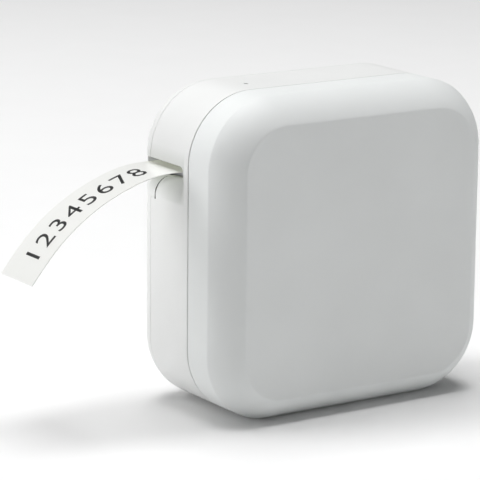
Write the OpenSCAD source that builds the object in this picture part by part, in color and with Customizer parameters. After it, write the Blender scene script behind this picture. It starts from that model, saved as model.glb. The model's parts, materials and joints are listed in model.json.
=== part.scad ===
// Cube-shaped label maker for 24 mm tape. The origin is the middle of the base, on the surface it
// stands on. +Z is up, the flat front face looks along -Y and the printed tape comes out at -X.

/* [Body] */
// Width and height of the square body
body_w = 128; // [127:0.5:130]
// Depth of the body from the front face to the back
body_d = 67; // [66.5:0.25:68]
// Corner radius of the square outline
corner_r = 28; // [27:0.5:29]
// Wall thickness of the shells
wall = 2.2; // [2:0.1:2.4]
// Gap between neighbouring shells
shell_gap = 0.3; // [0.2:0.05:0.4]
// How far the rubber feet stand below the base
foot_proud = 0.3; // [0.2:0.1:0.4]

/* [Front cover] */
// Inset of the flat front face from the outline
face_inset = 10; // [9:0.5:11]
// Depth of the convex band round the front face
band_depth = 11.8; // [11:0.2:12.4]
// Profile radius of the convex band
band_r = 19.5; // [18:0.5:24]
// Distance from the front face back to the seam
seam_depth = 26; // [25.5:0.25:26.5]

/* [Back cover] */
// Depth of the back cover behind its parting line
cover_depth = 13.7; // [13.4:0.1:14]
// Inset of the flat back face from the outline
cover_inset = 20; // [18:0.5:22]

/* [Tape slot] */
// Front end of the slot, along Y
slot_front_y = -3.5; // [-4:0.1:-3]
// Back end of the slot, along Y
slot_back_y = 27; // [26.5:0.1:27.5]
// Height of the slot's upper edge
slot_top = 99.5; // [99:0.1:100]
// Radius of the rounded lip under the slot
lip_r = 7; // [6:0.25:7.5]
// Height at which the lip starts to curve inward
lip_z = 85; // [84:0.25:85.5]
// Where the housing's lip ends and the back cover's lip starts, along Y
lip_split_y = 16.4; // [16:0.1:16.8]

/* [Tape] */
// Width of the tape
tape_w = 24; // [12:6:24]
// Thickness of the laminated tape with its backing
tape_t = 0.3; // [0.2:0.05:0.3]
// Height of the straight tape run
tape_z = 97.3; // [97.2:0.05:97.4]
// Middle of the tape's width, along Y
tape_y = 10.5; // [10:0.25:11]

/* [Gears] */
// Tooth module of the print drive
drive_module = 0.7; // [0.7]
// Tooth module of the cutter drive
cutter_module = 0.6; // [0.6]
// Backlash at the pitch circle
backlash = 0.16; // [0.12:0.02:0.2]
// Running clearance on the radius of each shaft
run_gap = 0.05; // [0.03:0.01:0.08]

/* [Cutter] */
// Angle by which the moving blade stands open
blade_open = 17; // [15:1:18]

/* [Hidden] */

$fn = 64;
mid_z = body_w/2;
front_y = -body_d/2;
back_y = body_d/2;
corner_c = body_w/2 - corner_r;         // corner centre, out from the middle of the square
seam_y = front_y + seam_depth;
cover_y = back_y - cover_depth;
side_x = body_w/2;
inner_x = side_x - wall;

// Screw posts that hold the front cover: place in XZ, and angle and length of the lug's arm
posts = [[[-46, 18], -135, 12.2], [[46, 18], -45, 12.2], [[46, 110], 45, 12.2],
         [[-6, 118.5], 90, 8]];
post_r = 3.4;
screw_r = 1.25;
lug_t = 2;

// Side controls, all on the middle of the front cover's straight wall
control_y = (front_y + band_depth + seam_y)/2;
power_z = 96;
power_r = 4.5;
power_travel = 0.8;
usb_z = 34;
usb_w = 7.6;
usb_h = 2.9;
charge_z = 52;
led_r = 1;
status_led = [-30, 4.2];
io_x = 56.2;
board_t = 1.6;

// Release button in the housing's right wall
release_y = 10;
release_z = 64;
release_size = [7, 16];
release_travel = 1.3;
flange_t = 1.9;
tongue_t = 1.6;
tongue_x = inner_x - 0.2 - flange_t - release_travel - 0.2 - tongue_t;

// Mechanism frame
chassis_y = -7;
chassis_t = 1.5;
bay_floor_t = 1.4;
bay_y = chassis_y + chassis_t;
flex_x = [-8, 1];
pcb_y = -24;
battery_z = 6.3;

// Cassette
cas_x0 = -46;
cas_x1 = 31;
cas_z0 = 54.5;
cas_z1 = 99.4;
cas_y0 = -3.6;
cas_y1 = 24.6;
cas_split = 10;
cas_wall = 1.2;
window_x0 = -37.5;
window_x1 = -24;
window_z = 87;
arm_top = 96.6;

// Rollers, print head and gear places in the XZ plane
roller_r = 5;
roller_z = tape_z + tape_t/2 + 0.15 + roller_r;
platen_at = [-30, roller_z];
feed_at = [-42, roller_z];
holder_pivot = [-14, roller_z];
roller_y0 = -2;
roller_y1 = 23;
shaft_r = 2;
holder_y = -9.5;
holder_t = 1.5;
holder_back_y = 25.2;
gear_y0 = -14;
gear_y1 = -11;
pin_r = 1.5;

// Teeth of the print drive
platen_n = 14;
holder_idler_n = 12;
idler_2_n = 24;
ribbon_n = 20;
idler_1_n = 40;
pinion_n = 12;

function pitch_r(n, m) = n*m/2;
function spread(a, b, m) = pitch_r(a, m) + pitch_r(b, m);
function polar(c, d, a) = [c[0] + d*cos(a), c[1] + d*sin(a)];
// Angle of one tooth of a gear that meshes with a gear of n_a teeth whose tooth stands at phase_a,
// when the line from the first gear's centre to its own centre lies at angle a
function meshed_phase(phase_a, n_a, n_b, a) = a + 180 + (180 - (phase_a - a)*n_a)/n_b;

idler_2_at = polar(platen_at, spread(platen_n, idler_2_n, drive_module), -90);
ribbon_angle = -20;
ribbon_at = polar(idler_2_at, spread(idler_2_n, ribbon_n, drive_module), ribbon_angle);
idler_1_angle = 240;
idler_1_at = polar(idler_2_at, spread(idler_2_n, idler_1_n, drive_module), idler_1_angle);
pinion_angle = -20;
motor_at = polar(idler_1_at, spread(idler_1_n, pinion_n, drive_module), pinion_angle);
holder_idler_angle = acos((platen_at[0] - feed_at[0])/2
                          /spread(platen_n, holder_idler_n, drive_module));
holder_idler_at = polar(platen_at, spread(platen_n, holder_idler_n, drive_module),
                        180 - holder_idler_angle);
platen_phase = 90;
idler_2_phase = meshed_phase(platen_phase, platen_n, idler_2_n, -90);
ribbon_phase = meshed_phase(idler_2_phase, idler_2_n, ribbon_n, ribbon_angle);
idler_1_phase = meshed_phase(idler_2_phase, idler_2_n, idler_1_n, idler_1_angle);
pinion_phase = meshed_phase(idler_1_phase, idler_1_n, pinion_n, pinion_angle);
holder_idler_phase = meshed_phase(platen_phase, platen_n, holder_idler_n,
                                  180 - holder_idler_angle);
feed_phase = meshed_phase(holder_idler_phase, holder_idler_n, platen_n,
                          180 + holder_idler_angle);

// Cutter, in the YZ plane at cut_x
cut_x = -50.05;
blade_t = 0.6;
blade_gap = 0.05;
cutter_pivot = [-9, 97.4];
sector_n = 30;
cutter_gear_n = 24;
cutter_pinion_n = 12;
cutter_gear_angle = 140;
cutter_gear_at = polar(cutter_pivot, spread(sector_n, cutter_gear_n, cutter_module),
                       cutter_gear_angle);
cutter_pinion_angle = -100;
cutter_pinion_at = polar(cutter_gear_at, spread(cutter_gear_n, cutter_pinion_n, cutter_module),
                         cutter_pinion_angle);
sector_phase = 140;
cutter_gear_phase = meshed_phase(sector_phase, sector_n, cutter_gear_n, cutter_gear_angle);
cutter_pinion_phase = meshed_phase(cutter_gear_phase, cutter_gear_n, cutter_pinion_n,
                                   cutter_pinion_angle);
fixed_edge_z = 96.9;

// Spools in the cassette, in the XZ plane
tape_spool_at = [10, 77.5];
tape_roll_r = 19.3;
film_spool_at = [-20, 66];
ribbon_supply_at = [-37, 66];
pinch_at = [-42, 94.2];
pinch_r = 2.7;
spool_y0 = -1.5;
spool_y1 = 22.5;

// Path of the printed label outside the slot, as pairs of length and turn
label_run = [[17, 0], [14, 17.5], [11.5, 5.5], [38, 27], [10.5, 1]];
label_steps = 8;
label_start = [-50.5, tape_z];

// ---------------------------------------------------------------- shared shapes

module rounded_square(w, r) {
    square([w - 2*r, w], center = true);
    square([w, w - 2*r], center = true);
    for (sx = [-1, 1], sz = [-1, 1]) translate([sx, sz]*(w/2 - r)) circle(r, $fn = 96);
}

module rounded_rect(size, r) {
    square([size[0] - 2*r, size[1]], center = true);
    square([size[0], size[1] - 2*r], center = true);
    for (sx = [-1, 1], sz = [-1, 1])
        translate([sx*(size[0]/2 - r), sz*(size[1]/2 - r)]) circle(r, $fn = 32);
}

// Extrudes an XZ outline from depth y0 to depth y1
module along_y(y0, y1) translate([0, y1, 0]) rotate([90, 0, 0]) linear_extrude(y1 - y0) children();

// Extrudes a YZ outline from x0 to x1
module along_x(x0, x1) translate([x0, 0, 0]) rotate([90, 0, 90]) linear_extrude(x1 - x0) children();

module box(x, y, z)
    translate([x[0], y[0], z[0]]) cube([x[1] - x[0], y[1] - y[0], z[1] - z[0]]);

module rod_y(at, r, y0, y1, fn = 48) along_y(y0, y1) translate(at) circle(r, $fn = fn);

module rod_x(at, r, x0, x1, fn = 48) along_x(x0, x1) translate(at) circle(r, $fn = fn);

module slab(y0, y1, inset)
    along_y(y0, y1) translate([0, mid_z]) rounded_square(body_w - 2*inset, corner_r - inset);

// Carries a profile round the square outline. The profile's x is the distance out from the corner
// centre and its y is the distance forward of the middle of the body.
module round_outline(y0, y1) {
    for (k = [0:3]) translate([0, 0, mid_z]) rotate([0, 90*k, 0]) {
        translate([corner_c, 0, corner_c]) rotate([90, 0, 0])
            rotate_extrude(angle = 90, $fn = 96) children();
        translate([corner_c, 0, -corner_c]) mirror([0, 1, 0])
            linear_extrude(2*corner_c) children();
    }
    box([-corner_c, corner_c], [y0, y1], [mid_z - corner_c, mid_z + corner_c]);
}

// Centre of the band's profile arc, from its two ends
band_start = [corner_r, body_d/2 - band_depth];
band_end = [corner_r - face_inset, body_d/2];
band_chord = norm(band_end - band_start);
band_dir = (band_end - band_start)/band_chord;
band_c = (band_start + band_end)/2
         - sqrt(band_r*band_r - band_chord*band_chord/4)*[band_dir[1], -band_dir[0]];

// Solid of the front cover's shape, inset by t, from its front face back to depth y
module front_form(t, y) {
    r = band_r - t;
    a0 = acos((corner_r - t - band_c[0])/r);
    a1 = asin((body_d/2 - t - band_c[1])/r);
    n = 12;
    band = [for (i = [0:n]) band_c + r*[cos(a0 + (a1 - a0)*i/n), sin(a0 + (a1 - a0)*i/n)]];
    round_outline(front_y + t, y)
        polygon(concat([[0, -y], [corner_r - t, -y]], band, [[0, body_d/2 - t]]));
}

// Solid of the back cover's shape, inset by t, from depth y back to its back face
module back_form(t, y) {
    n = 12;
    a0 = asin(max(0, y - cover_y)/(cover_depth - t));
    bulge = [for (i = [0:n]) let (a = a0 + (90 - a0)*i/n)
        [corner_r - t - (cover_inset - t)*(1 - cos(a)), -cover_y - (cover_depth - t)*sin(a)]];
    rim = y < cover_y ? [[corner_r - t, -y]] : [];
    round_outline(y, back_y - t)
        polygon(concat([[0, -y]], rim, bulge, [[0, t - back_y]]));
}

module below_base() box([-80, 80], [-60, 60], [-20, foot_proud]);

foot_places = concat([[0, 0]], [for (x = [-28, 28], y = [control_y, 12]) [x, y]]);
foot_size = [12, 6];
foot_recess = 0.5;

module foot_pads(grow)
    for (p = foot_places) translate([p[0], p[1], -1])
        linear_extrude(1 + foot_proud + foot_recess)
            rounded_rect(foot_size + [grow, grow], 2);

// Quarter-round lip under the tape slot, from depth y0 to depth y1
module lip(y0, y1) {
    c = [-side_x + lip_r, lip_z];
    t = 1.5;
    n = 10;
    outer = [for (i = [0:n]) c + lip_r*[-cos(90*i/n), sin(90*i/n)]];
    inner = [for (i = [n:-1:0]) c + (lip_r - t)*[-cos(90*i/n), sin(90*i/n)]];
    along_y(y0, y1)
        polygon(concat(outer, [c + [3, lip_r], c + [3, lip_r - t]], inner));
}

// Wall that the slot cuts out of the shells
module slot_cut(y0, y1) box([-side_x - 5, -side_x + lip_r + 1], [y0, y1], [lip_z, slot_top]);

// Gear outline with involute flanks, one tooth centred on angle phase
module gear_outline(n, m, phase) {
    rp = pitch_r(n, m);
    rb = rp*cos(20);
    ra = rp + 0.8*m;
    rf = rp - 1.15*m;
    r0 = max(rb, rf);
    steps = 4;
    function inv(a) = tan(a)*180/PI - a;
    function half(r) = 90/n - backlash/rp*45/PI + inv(20) - inv(acos(min(1, rb/r)));
    flank = [for (i = [0:steps]) let (r = r0 + (ra - r0)*i/steps) [r, half(r)]];
    root = [rf, rf < rb ? half(rb)*0.92 : half(rf)];
    tooth = concat([[root[0], -root[1]]], [for (p = flank) [p[0], -p[1]]],
                   [for (i = [steps:-1:0]) flank[i]], [root]);
    polygon([for (k = [0:n - 1], p = tooth) let (a = phase + 360*k/n + p[1])
             p[0]*[cos(a), sin(a)]]);
}

module gear_y(at, n, phase, bore, hub_r = 0, hub_y = gear_y1)
    difference() {
        union() {
            along_y(gear_y0, gear_y1) translate(at) gear_outline(n, drive_module, phase);
            if (hub_r > 0) rod_y(at, hub_r, gear_y0 - 0.5, hub_y);
        }
        rod_y(at, bore, gear_y0 - 2, hub_y + 2);
    }

// ---------------------------------------------------------------- shells

module front_cover() color("gainsboro") {
    difference() {
        union() {
            difference() {
                front_form(0, seam_y - shell_gap/2);
                front_form(wall, seam_y + 1);
            }
            for (p = posts) rod_y(p[0], post_r, front_y + 1, seam_y + shell_gap/2);
            for (x = [-36, 36], z = [16, 48]) rod_y([x, z], 2.6, front_y + 1, pcb_y);
            for (z = [26, 72, 102])
                box([io_x - 3, io_x], [front_y + 1.5, control_y - 4], [z, z + 2]);
        }
        for (p = posts) rod_y(p[0], screw_r, front_y + 12, seam_y + 1);
        for (x = [-36, 36], z = [16, 48]) rod_y([x, z], 0.9, front_y + 4, pcb_y + 1);
        rod_x([control_y, power_z], power_r + 0.2, inner_x - 3, side_x + 3);
        rod_x([control_y, charge_z], led_r, inner_x - 3, side_x + 3);
        along_x(inner_x - 3, side_x + 3) translate([control_y, usb_z])
            rounded_rect([usb_h + 0.8, usb_w + 0.8], 1.2);
        foot_pads(0);
        below_base();
    }
}

module main_housing() color("whitesmoke") {
    y0 = seam_y + shell_gap/2;
    y1 = cover_y - shell_gap/2;
    difference() {
        union() {
            difference() {
                slab(y0, y1, 0);
                slab(y0 - 1, y1 + 1, wall);
            }
            // Rim that locates the front cover, left out beside the side board
            difference() {
                union() {
                    slab(seam_y - 3, y0 + 1, wall + 0.2);
                    slab(y0, y0 + 1, wall - 0.5);
                }
                slab(seam_y - 4, y0 + 2, wall + 1.4);
                box([49, side_x - 1], [seam_y - 4, y0], [20, 108]);
            }
            // Lugs for the shell screws
            for (p = posts) along_y(y0, y0 + lug_t) translate(p[0]) {
                circle(post_r + 1, $fn = 48);
                rotate(p[1]) translate([0, -3]) square([p[2], 6]);
            }
            // Ribs under the battery pack
            for (x = [-26, -13, 13, 26]) box([x - 1, x + 1], [-4, 16], [1, battery_z]);
            // Plates that line the tape slot
            box([-side_x + 1, -side_x + 10], [slot_front_y - 1.5, y1], [slot_top, slot_top + 1.5]);
            box([-side_x + 1, -side_x + 10], [slot_front_y - 1.5, slot_front_y],
                [lip_z, slot_top + 1]);
        }
        slot_cut(slot_front_y, y1 + 1);
        slot_cut_below_lip();
        for (p = posts) rod_y(p[0], screw_r, y0 - 1, y0 + 4);
        along_x(inner_x - 3, side_x + 3) translate([release_y, release_z])
            rounded_rect(release_size + [0.5, 0.5], 2.25);
        translate([status_led[0], status_led[1], body_w - wall - 4]) cylinder(r = led_r, h = 8);
        foot_pads(0);
        below_base();
    }
    lip(slot_front_y - 1, lip_split_y - shell_gap/2);
}

// Frees the housing's side wall behind the split in the lip, where the back cover's lip reaches in
module slot_cut_below_lip()
    box([-side_x - 1, -side_x + lip_r + 4], [lip_split_y - shell_gap/2, cover_y + 1],
        [lip_z - shell_gap, lip_z + 5]);

module back_cover() color("whitesmoke") {
    y0 = cover_y + shell_gap/2;
    difference() {
        union() {
            difference() {
                back_form(0, y0);
                back_form(wall, y0 - 1);
            }
            // Rim inside the housing
            difference() {
                slab(cover_y - 2.5, y0 + 3, wall + 0.25);
                slab(cover_y - 3.5, y0 + 4, wall + 1.45);
            }
            intersection() {
                back_form(0.3, y0);
                union() {
                    box([-side_x, -side_x + 10], [y0, slot_back_y + 1.5],
                        [slot_top, slot_top + 1.5]);
                    box([-side_x, -side_x + 10], [slot_back_y, slot_back_y + 1.5],
                        [lip_z, slot_top + 1]);
                }
            }
        }
        slot_cut(cover_y - 5, slot_back_y);
        box([-side_x - 1, -side_x + 6], [cover_y - 5, y0], [lip_z - 6, slot_top + 4]);
    }
    lip(lip_split_y + shell_gap/2, y0 + 0.4);
    intersection() {
        back_form(0, y0 + 0.2);
        lip(y0 + 0.3, slot_back_y + 0.5);
    }
    // Tongue that the release button bends, and two fixed ones at the top and the base
    box([tongue_x, tongue_x + tongue_t], [6, back_y - 6], [release_z - 6, release_z + 6]);
    for (z = [wall + 2.4, body_w - wall - 4])
        box([-8, 8], [12, back_y - 6], [z, z + tongue_t]);
}

module rubber_feet() color("dimgray") difference() {
    foot_pads(0);
    box([-80, 80], [-60, 60], [-20, 0]);
}

module shell_screws() color("silver")
    for (p = posts) {
        at = p[0];
        y = seam_y + shell_gap/2 + lug_t;
        rod_y(at, screw_r, front_y + 14, y);
        difference() {
            rod_y(at, 2.6, y, y + 1.8);
            along_y(y + 0.9, y + 3) translate(at) {
                square([0.7, 3.4], center = true);
                square([3.4, 0.7], center = true);
            }
        }
    }

module status_led_lens() color("darkgray")
    translate([status_led[0], status_led[1], body_w - wall - 3])
        cylinder(r = led_r, h = wall + 3 - 0.2);

module charge_led_lens() color("darkgray") rod_x([control_y, charge_z], led_r, io_x + board_t + 0.6,
                                                 side_x - 0.2);

module release_button() color("lightgray") {
    along_x(inner_x - 1, side_x + 0.5) translate([release_y, release_z])
        rounded_rect(release_size, 2);
    along_x(inner_x - 0.2 - flange_t, inner_x - 0.2) translate([release_y, release_z])
        rounded_rect(release_size + [2.4, 2.4], 2);
}

module power_button() color("lightgray") {
    rod_x([control_y, power_z], power_r, inner_x - 1, side_x + 0.5);
    rod_x([control_y, power_z], power_r + 0.9, inner_x - 1.6, inner_x - 0.2);
}

// ---------------------------------------------------------------- electronics

module power_switch() color("silver") {
    along_x(io_x + board_t, io_x + board_t + 1) translate([control_y, power_z])
        square([6, 6], center = true);
    rod_x([control_y, power_z], 1.6, io_x + board_t + 0.9,
          inner_x - 1.6 - power_travel - 0.05);
}

module usb_port() color("silver") {
    x0 = io_x + board_t;
    difference() {
        along_x(x0, side_x - 0.4) translate([control_y, usb_z])
            rounded_rect([usb_h, usb_w], 0.9);
        along_x(x0 + 1, side_x) translate([control_y, usb_z])
            rounded_rect([usb_h - 0.6, usb_w - 0.6], 0.6);
    }
    along_x(x0 + 0.9, side_x - 1.2) translate([control_y - 0.3, usb_z])
        square([0.7, 5.4], center = true);
}

module io_board() color("darkgreen") {
    box([io_x, io_x + board_t], [control_y - 5.5, control_y + 5], [24, 106]);
    box([io_x - 3, io_x], [control_y - 3.5, control_y + 3.5], [60, 70]);
    for (z = [42, 82, 88])
        box([io_x - 1, io_x], [control_y - 2, control_y], [z, z + 3]);
    box([io_x + board_t, io_x + board_t + 0.6], [control_y - 0.8, control_y + 0.8],
        [charge_z - 0.8, charge_z + 0.8]);
}

module main_pcb() color("darkgreen") {
    difference() {
        box([-40, 40], [pcb_y, pcb_y + board_t], [12, 52]);
        for (x = [-36, 36], z = [16, 48]) rod_y([x, z], 1.1, pcb_y - 1, pcb_y + 3);
    }
    front = pcb_y;
    back = pcb_y + board_t;
    box([-8, 4], [front - 1.4, front], [22, 34]);          // processor
    box([-24, -14], [front - 1.1, front], [34, 41]);       // memory
    for (x = [10, 18]) rod_y([x, 44], 3, back, back + 6);  // capacitors
    box([20, 27], [back, back + 3], [20, 27]);             // inductor
    box([-34, -22], [back, back + 4], [34.5, 41.5]);       // battery connector
    box(flex_x, [back, back + 3.4], [45, 51]);             // print head connector
    box([32, 39], [front - 4, front], [24, 36]);           // side board connector
    for (i = [0:5]) box([-32 + 5*i, -30 + 5*i], [front - 0.7, front], [16, 19]);
}

module wireless_module() color("silver") {
    box([8, 24], [pcb_y - 0.8, pcb_y], [26, 38]);
    box([9, 20], [pcb_y - 2.4, pcb_y - 0.8], [27, 37]);
}

module pcb_screws() color("silver")
    for (x = [-36, 36], z = [16, 48]) {
        rod_y([x, z], 0.9, front_y + 5, pcb_y + board_t);
        rod_y([x, z], 2, pcb_y + board_t, pcb_y + board_t + 1.2);
    }

module battery_pack() color("royalblue") {
    along_y(-3, 15) for (z = [battery_z + 9.2, battery_z + 28.2])
        translate([0, z]) rounded_rect([72, 18.4], 4);
    box([-30, 30], [-2, 14], [20, 30]);
    box([30, 37], [0, 12], [10, 40]);
}

lead_r = 0.9;
lead_bend = 8;
lead_x = [-30.5, -28, -25.5];
lead_z = 30;

// S-shaped wires from the battery pack forward and up to the circuit board
module battery_lead() color("firebrick") {
    box([lead_x[0] - 1.5, lead_x[2] + 1.5], [pcb_y + board_t + 4, -2.9 - 2*lead_bend*sin(60)],
        [lead_z + lead_bend - 2, lead_z + lead_bend + 2]);
    for (x = lead_x) {
        translate([x, -3, lead_z + lead_bend]) rotate([0, 90, 0])
            rotate_extrude(angle = -60, $fn = 48)
                translate([lead_bend, 0]) circle(lead_r, $fn = 24);
        translate([x, -3 - 2*lead_bend*sin(60), lead_z]) rotate([0, 90, 0])
            rotate_extrude(angle = 60, start = 120, $fn = 48)
                translate([lead_bend, 0]) circle(lead_r, $fn = 24);
        translate([x, -3 - lead_bend*sin(60), lead_z + lead_bend*(1 - cos(60))])
            sphere(lead_r + 0.2, $fn = 24);
    }
}

// ---------------------------------------------------------------- mechanism frame

module chassis_plate() color("silver") {
    y0 = chassis_y;
    y1 = chassis_y + chassis_t;
    difference() {
        union() {
            box([-48.4, 40], [y0, y1], [46, 86]);
            box([-20, 40], [y0, y1], [85, 112]);
            box([-22, -16], [y0, y1], [111, 119]);
            box([-42, -16], [y0, y1], [117, 119]);
            box([-42, -34], [y0, 10], [117.5, 119]);       // arm over the holder spring
        }
        rod_y(idler_1_at, pin_r, y0 - 1, y1 + 1);
        rod_y(ribbon_at, shaft_r + run_gap, y0 - 1, y1 + 1);
        rod_y(holder_pivot, pin_r, y0 - 1, y1 + 1);
        box([flex_x[0] - 0.7, flex_x[1] + 0.7], [y0 - 1, y1 + 1], [69, 71]);  // for the flat cable
        for (x = [12, 28], z = [66, 96]) rod_y([x, z], 6, y0 - 1, y1 + 1);
    }
    // Ear that carries the second idler
    difference() {
        box([-37, -19], [y0, y1], [85, 93.5]);
        rod_y(idler_2_at, pin_r, y0 - 1, y1 + 1);
    }
}

module cassette_bay() color("lightgray") {
    y0 = bay_y;
    y1 = bay_y + bay_floor_t;
    difference() {
        union() {
            box([-48.4, 34], [y0, y1], [51.5, 102.7]);
            box([-48.4, 34], [y0, 19], [51.5, 53.3]);
            box([32.2, 34], [y0, 19], [51.5, 102.7]);
            box([-8, 34], [y0, 19], [101.2, 102.7]);
            box([-48.4, -46.6], [y0, 19], [51.5, 82]);
        }
        box([-49, -20], [y0 - 1, y1 + 1], [94, 104]);      // opening for the rollers
        box([-38, -23.5], [y0 - 1, y1 + 1], [86, 95]);     // opening for the print head
        box([-49, -46.2], [y0 - 1, y1 + 1], [82, 95]);
        rod_y(ribbon_at, shaft_r + 1.5, y0 - 1, y1 + 1);
        rod_y(holder_pivot, pin_r + 1.5, y0 - 1, y1 + 1);
        box([-35.5, flex_x[1] + 0.5], [y0 - 1, y0 + 0.6], [65.5, 89]); // for the flat cable
    }
    for (at = [tape_spool_at, film_spool_at, ribbon_supply_at]) rod_y(at, 1.2, y1 - 0.2, y1 + 3.5);
}

module print_head() color("dimgray") {
    box([-35, -26], [-1.5, 24], [96.4, 97]);
    box([-31, -29.5], [-1, 23.5], [96.95, 97.05]);         // heater line
}

module head_heatsink() color("silver") {
    box([-35, -26], [-4.4, 24], [93.2, 96.4]);
    for (i = [0:4]) box([-35 + 2*i, -34 + 2*i], [-4.4, 24], [88, 93.3]);
    box([-36, -25.5], [chassis_y + chassis_t, -4.2], [87.5, 93.4]);
}

// Flat cable: down the back of the chassis, forward through it and down to the circuit board
module head_flex_cable() color("sienna") {
    t = 0.3;
    y = bay_y;
    front = pcb_y + board_t + 3.1;
    box([-35, -27], [y, y + t], [70, 87.5]);
    box([-35, flex_x[1]], [y, y + t], [66, 74]);
    box(flex_x, [front, y], [69.85, 69.85 + t]);
    box(flex_x, [front, front + t], [51, 70]);
}

// ---------------------------------------------------------------- print drive

module drive_motor() color("gray") difference() {
    union() {
        rod_y(motor_at, 10, -30, -16);
        rod_y(motor_at, 3, -16.1, -15);
        for (s = [-1, 1]) translate([motor_at[0] + s*11, 0, motor_at[1]])
            along_y(-17, -16) circle(3, $fn = 32);
    }
    rod_y(motor_at, 1 + run_gap, -22, -10);
}

bracket_legs = [[-14.5, 57], [-14.5, 71], [-26, 52.5]];

module motor_bracket() color("silver") {
    difference() {
        along_y(-16, -15) {
            translate([motor_at[0] + 1, motor_at[1]]) rounded_rect([28, 16], 3);
            for (p = bracket_legs) translate(p) circle(3, $fn = 32);
            translate([-26, 56]) square([6, 8], center = true);
        }
        rod_y(motor_at, 3, -18, -14);
        rod_y(idler_1_at, 17.4, -18, -14);
    }
    for (p = bracket_legs) rod_y(p, 1.8, -15.1, chassis_y, 32);
}

module gear_pins() color("silver") {
    for (at = [idler_1_at, idler_2_at]) {
        rod_y(at, pin_r, gear_y0 - 1.4, chassis_y + chassis_t);
        rod_y(at, pin_r + 1, gear_y0 - 1.4, gear_y0 - 0.8);
    }
}

module motor_pinion() color("goldenrod") {
    along_y(gear_y0, gear_y1) translate(motor_at) gear_outline(pinion_n, drive_module, pinion_phase);
    rod_y(motor_at, 1, -21, -10.4, 32);
}

module idler_gear_1() color("ivory") gear_y(idler_1_at, idler_1_n, idler_1_phase, pin_r + run_gap, 3,
                                            chassis_y - 0.3);

module idler_gear_2() color("ivory") gear_y(idler_2_at, idler_2_n, idler_2_phase, pin_r + run_gap, 3,
                                            chassis_y - 0.3);

module ribbon_gear() color("ivory") gear_y(ribbon_at, ribbon_n, ribbon_phase, shaft_r, 3.4,
                                           chassis_y - 0.3);

rib_r = 2.7;
rib_w = 0.8;

module ribbon_drive_shaft() color("ivory") {
    rod_y(ribbon_at, shaft_r, gear_y0 - 1, 19);
    for (k = [0:2]) translate([ribbon_at[0], 0, ribbon_at[1]]) rotate([0, 120*k, 0])
        box([shaft_r - 0.3, rib_r], [-2.5, 18], [-rib_w/2, rib_w/2]);
    rod_y(ribbon_at, 3.2, gear_y0 - 1.2, gear_y0 - 0.5);
}

// Outline of the two side plates of the roller holder
module holder_plate() {
    translate(holder_pivot) circle(2.8, $fn = 48);
    translate([-47.4, 99.8]) square([47.4 + holder_pivot[0], 8.6]);
    translate([-46, 106]) square([22, 5.6]);
}

module roller_holder() color("silver") difference() {
    union() {
        along_y(holder_y, holder_y + holder_t) {
            holder_plate();
            translate(holder_idler_at) circle(3.2, $fn = 32);
        }
        along_y(holder_back_y, holder_back_y + holder_t) holder_plate();
        box([-46, -24], [holder_y, holder_back_y + holder_t], [109.6, 110.9]);
        rod_y(holder_idler_at, 1.2, gear_y0 - 1, holder_y + 0.1);
    }
    for (at = [platen_at, feed_at])
        rod_y(at, shaft_r + run_gap, holder_y - 1, holder_back_y + 3);
    rod_y(holder_pivot, pin_r + run_gap, holder_y - 1, holder_back_y + 3);
}

module holder_pivot_pin() color("silver") {
    rod_y(holder_pivot, pin_r, holder_y - 1.2, holder_back_y + holder_t + 1.2);
    rod_y(holder_pivot, pin_r + 0.9, holder_y - 1.2, holder_y - 0.3);
    rod_y(holder_pivot, pin_r + 0.9, holder_back_y + holder_t + 0.3,
          holder_back_y + holder_t + 1.2);
}

spring_r = 2.6;
spring_wire = 0.35;
spring_turns = 5;
spring_z = [111, 117.4];

function helix(u) = [spring_r*cos(360*spring_turns*u), spring_r*sin(360*spring_turns*u),
                     spring_z[0] + spring_wire
                     + (spring_z[1] - spring_z[0] - 2*spring_wire)*u];

// Compression spring between the roller holder and the chassis arm
module holder_spring() color("silver") translate([-38, 3, 0]) {
    rings = spring_turns*14;
    sides = 6;
    points = [for (i = [0:rings]) let (c = helix(i/rings), a = 360*spring_turns*i/rings)
              for (j = [0:sides - 1]) let (b = 360*j/sides)
              c + spring_wire*[cos(a)*cos(b), sin(a)*cos(b), sin(b)]];
    sides_faces = [for (i = [0:rings - 1], j = [0:sides - 1]) let (k = (j + 1)%sides)
                   [i*sides + j, i*sides + k, (i + 1)*sides + k, (i + 1)*sides + j]];
    ends = [[for (j = [sides - 1:-1:0]) j], [for (j = [0:sides - 1]) rings*sides + j]];
    polyhedron(points, concat(sides_faces, ends));
}

module holder_idler_gear() color("ivory") gear_y(holder_idler_at, holder_idler_n,
                                                 holder_idler_phase, 1.2 + run_gap);

module roller_shaft(at) {
    rod_y(at, shaft_r, gear_y0 - 1, holder_back_y + holder_t + 1);
    rod_y(at, shaft_r + 0.8, gear_y0 - 1, gear_y0 - 0.4);
}

module rubber_roller(at) difference() {
    rod_y(at, roller_r, roller_y0, roller_y1, 96);
    rod_y(at, shaft_r, roller_y0 - 1, roller_y1 + 1);
}

module platen_shaft() color("silver") roller_shaft(platen_at);
module platen_roller() color("dimgray") rubber_roller(platen_at);
module platen_gear() color("ivory") gear_y(platen_at, platen_n, platen_phase, shaft_r);
module feed_shaft() color("silver") roller_shaft(feed_at);
module feed_roller() color("dimgray") rubber_roller(feed_at);
module feed_gear() color("ivory") gear_y(feed_at, platen_n, feed_phase, shaft_r);

// ---------------------------------------------------------------- cutter

frame_x = [-52.5, -51];
frame_back_x = [-48.3, -47.1];

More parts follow.
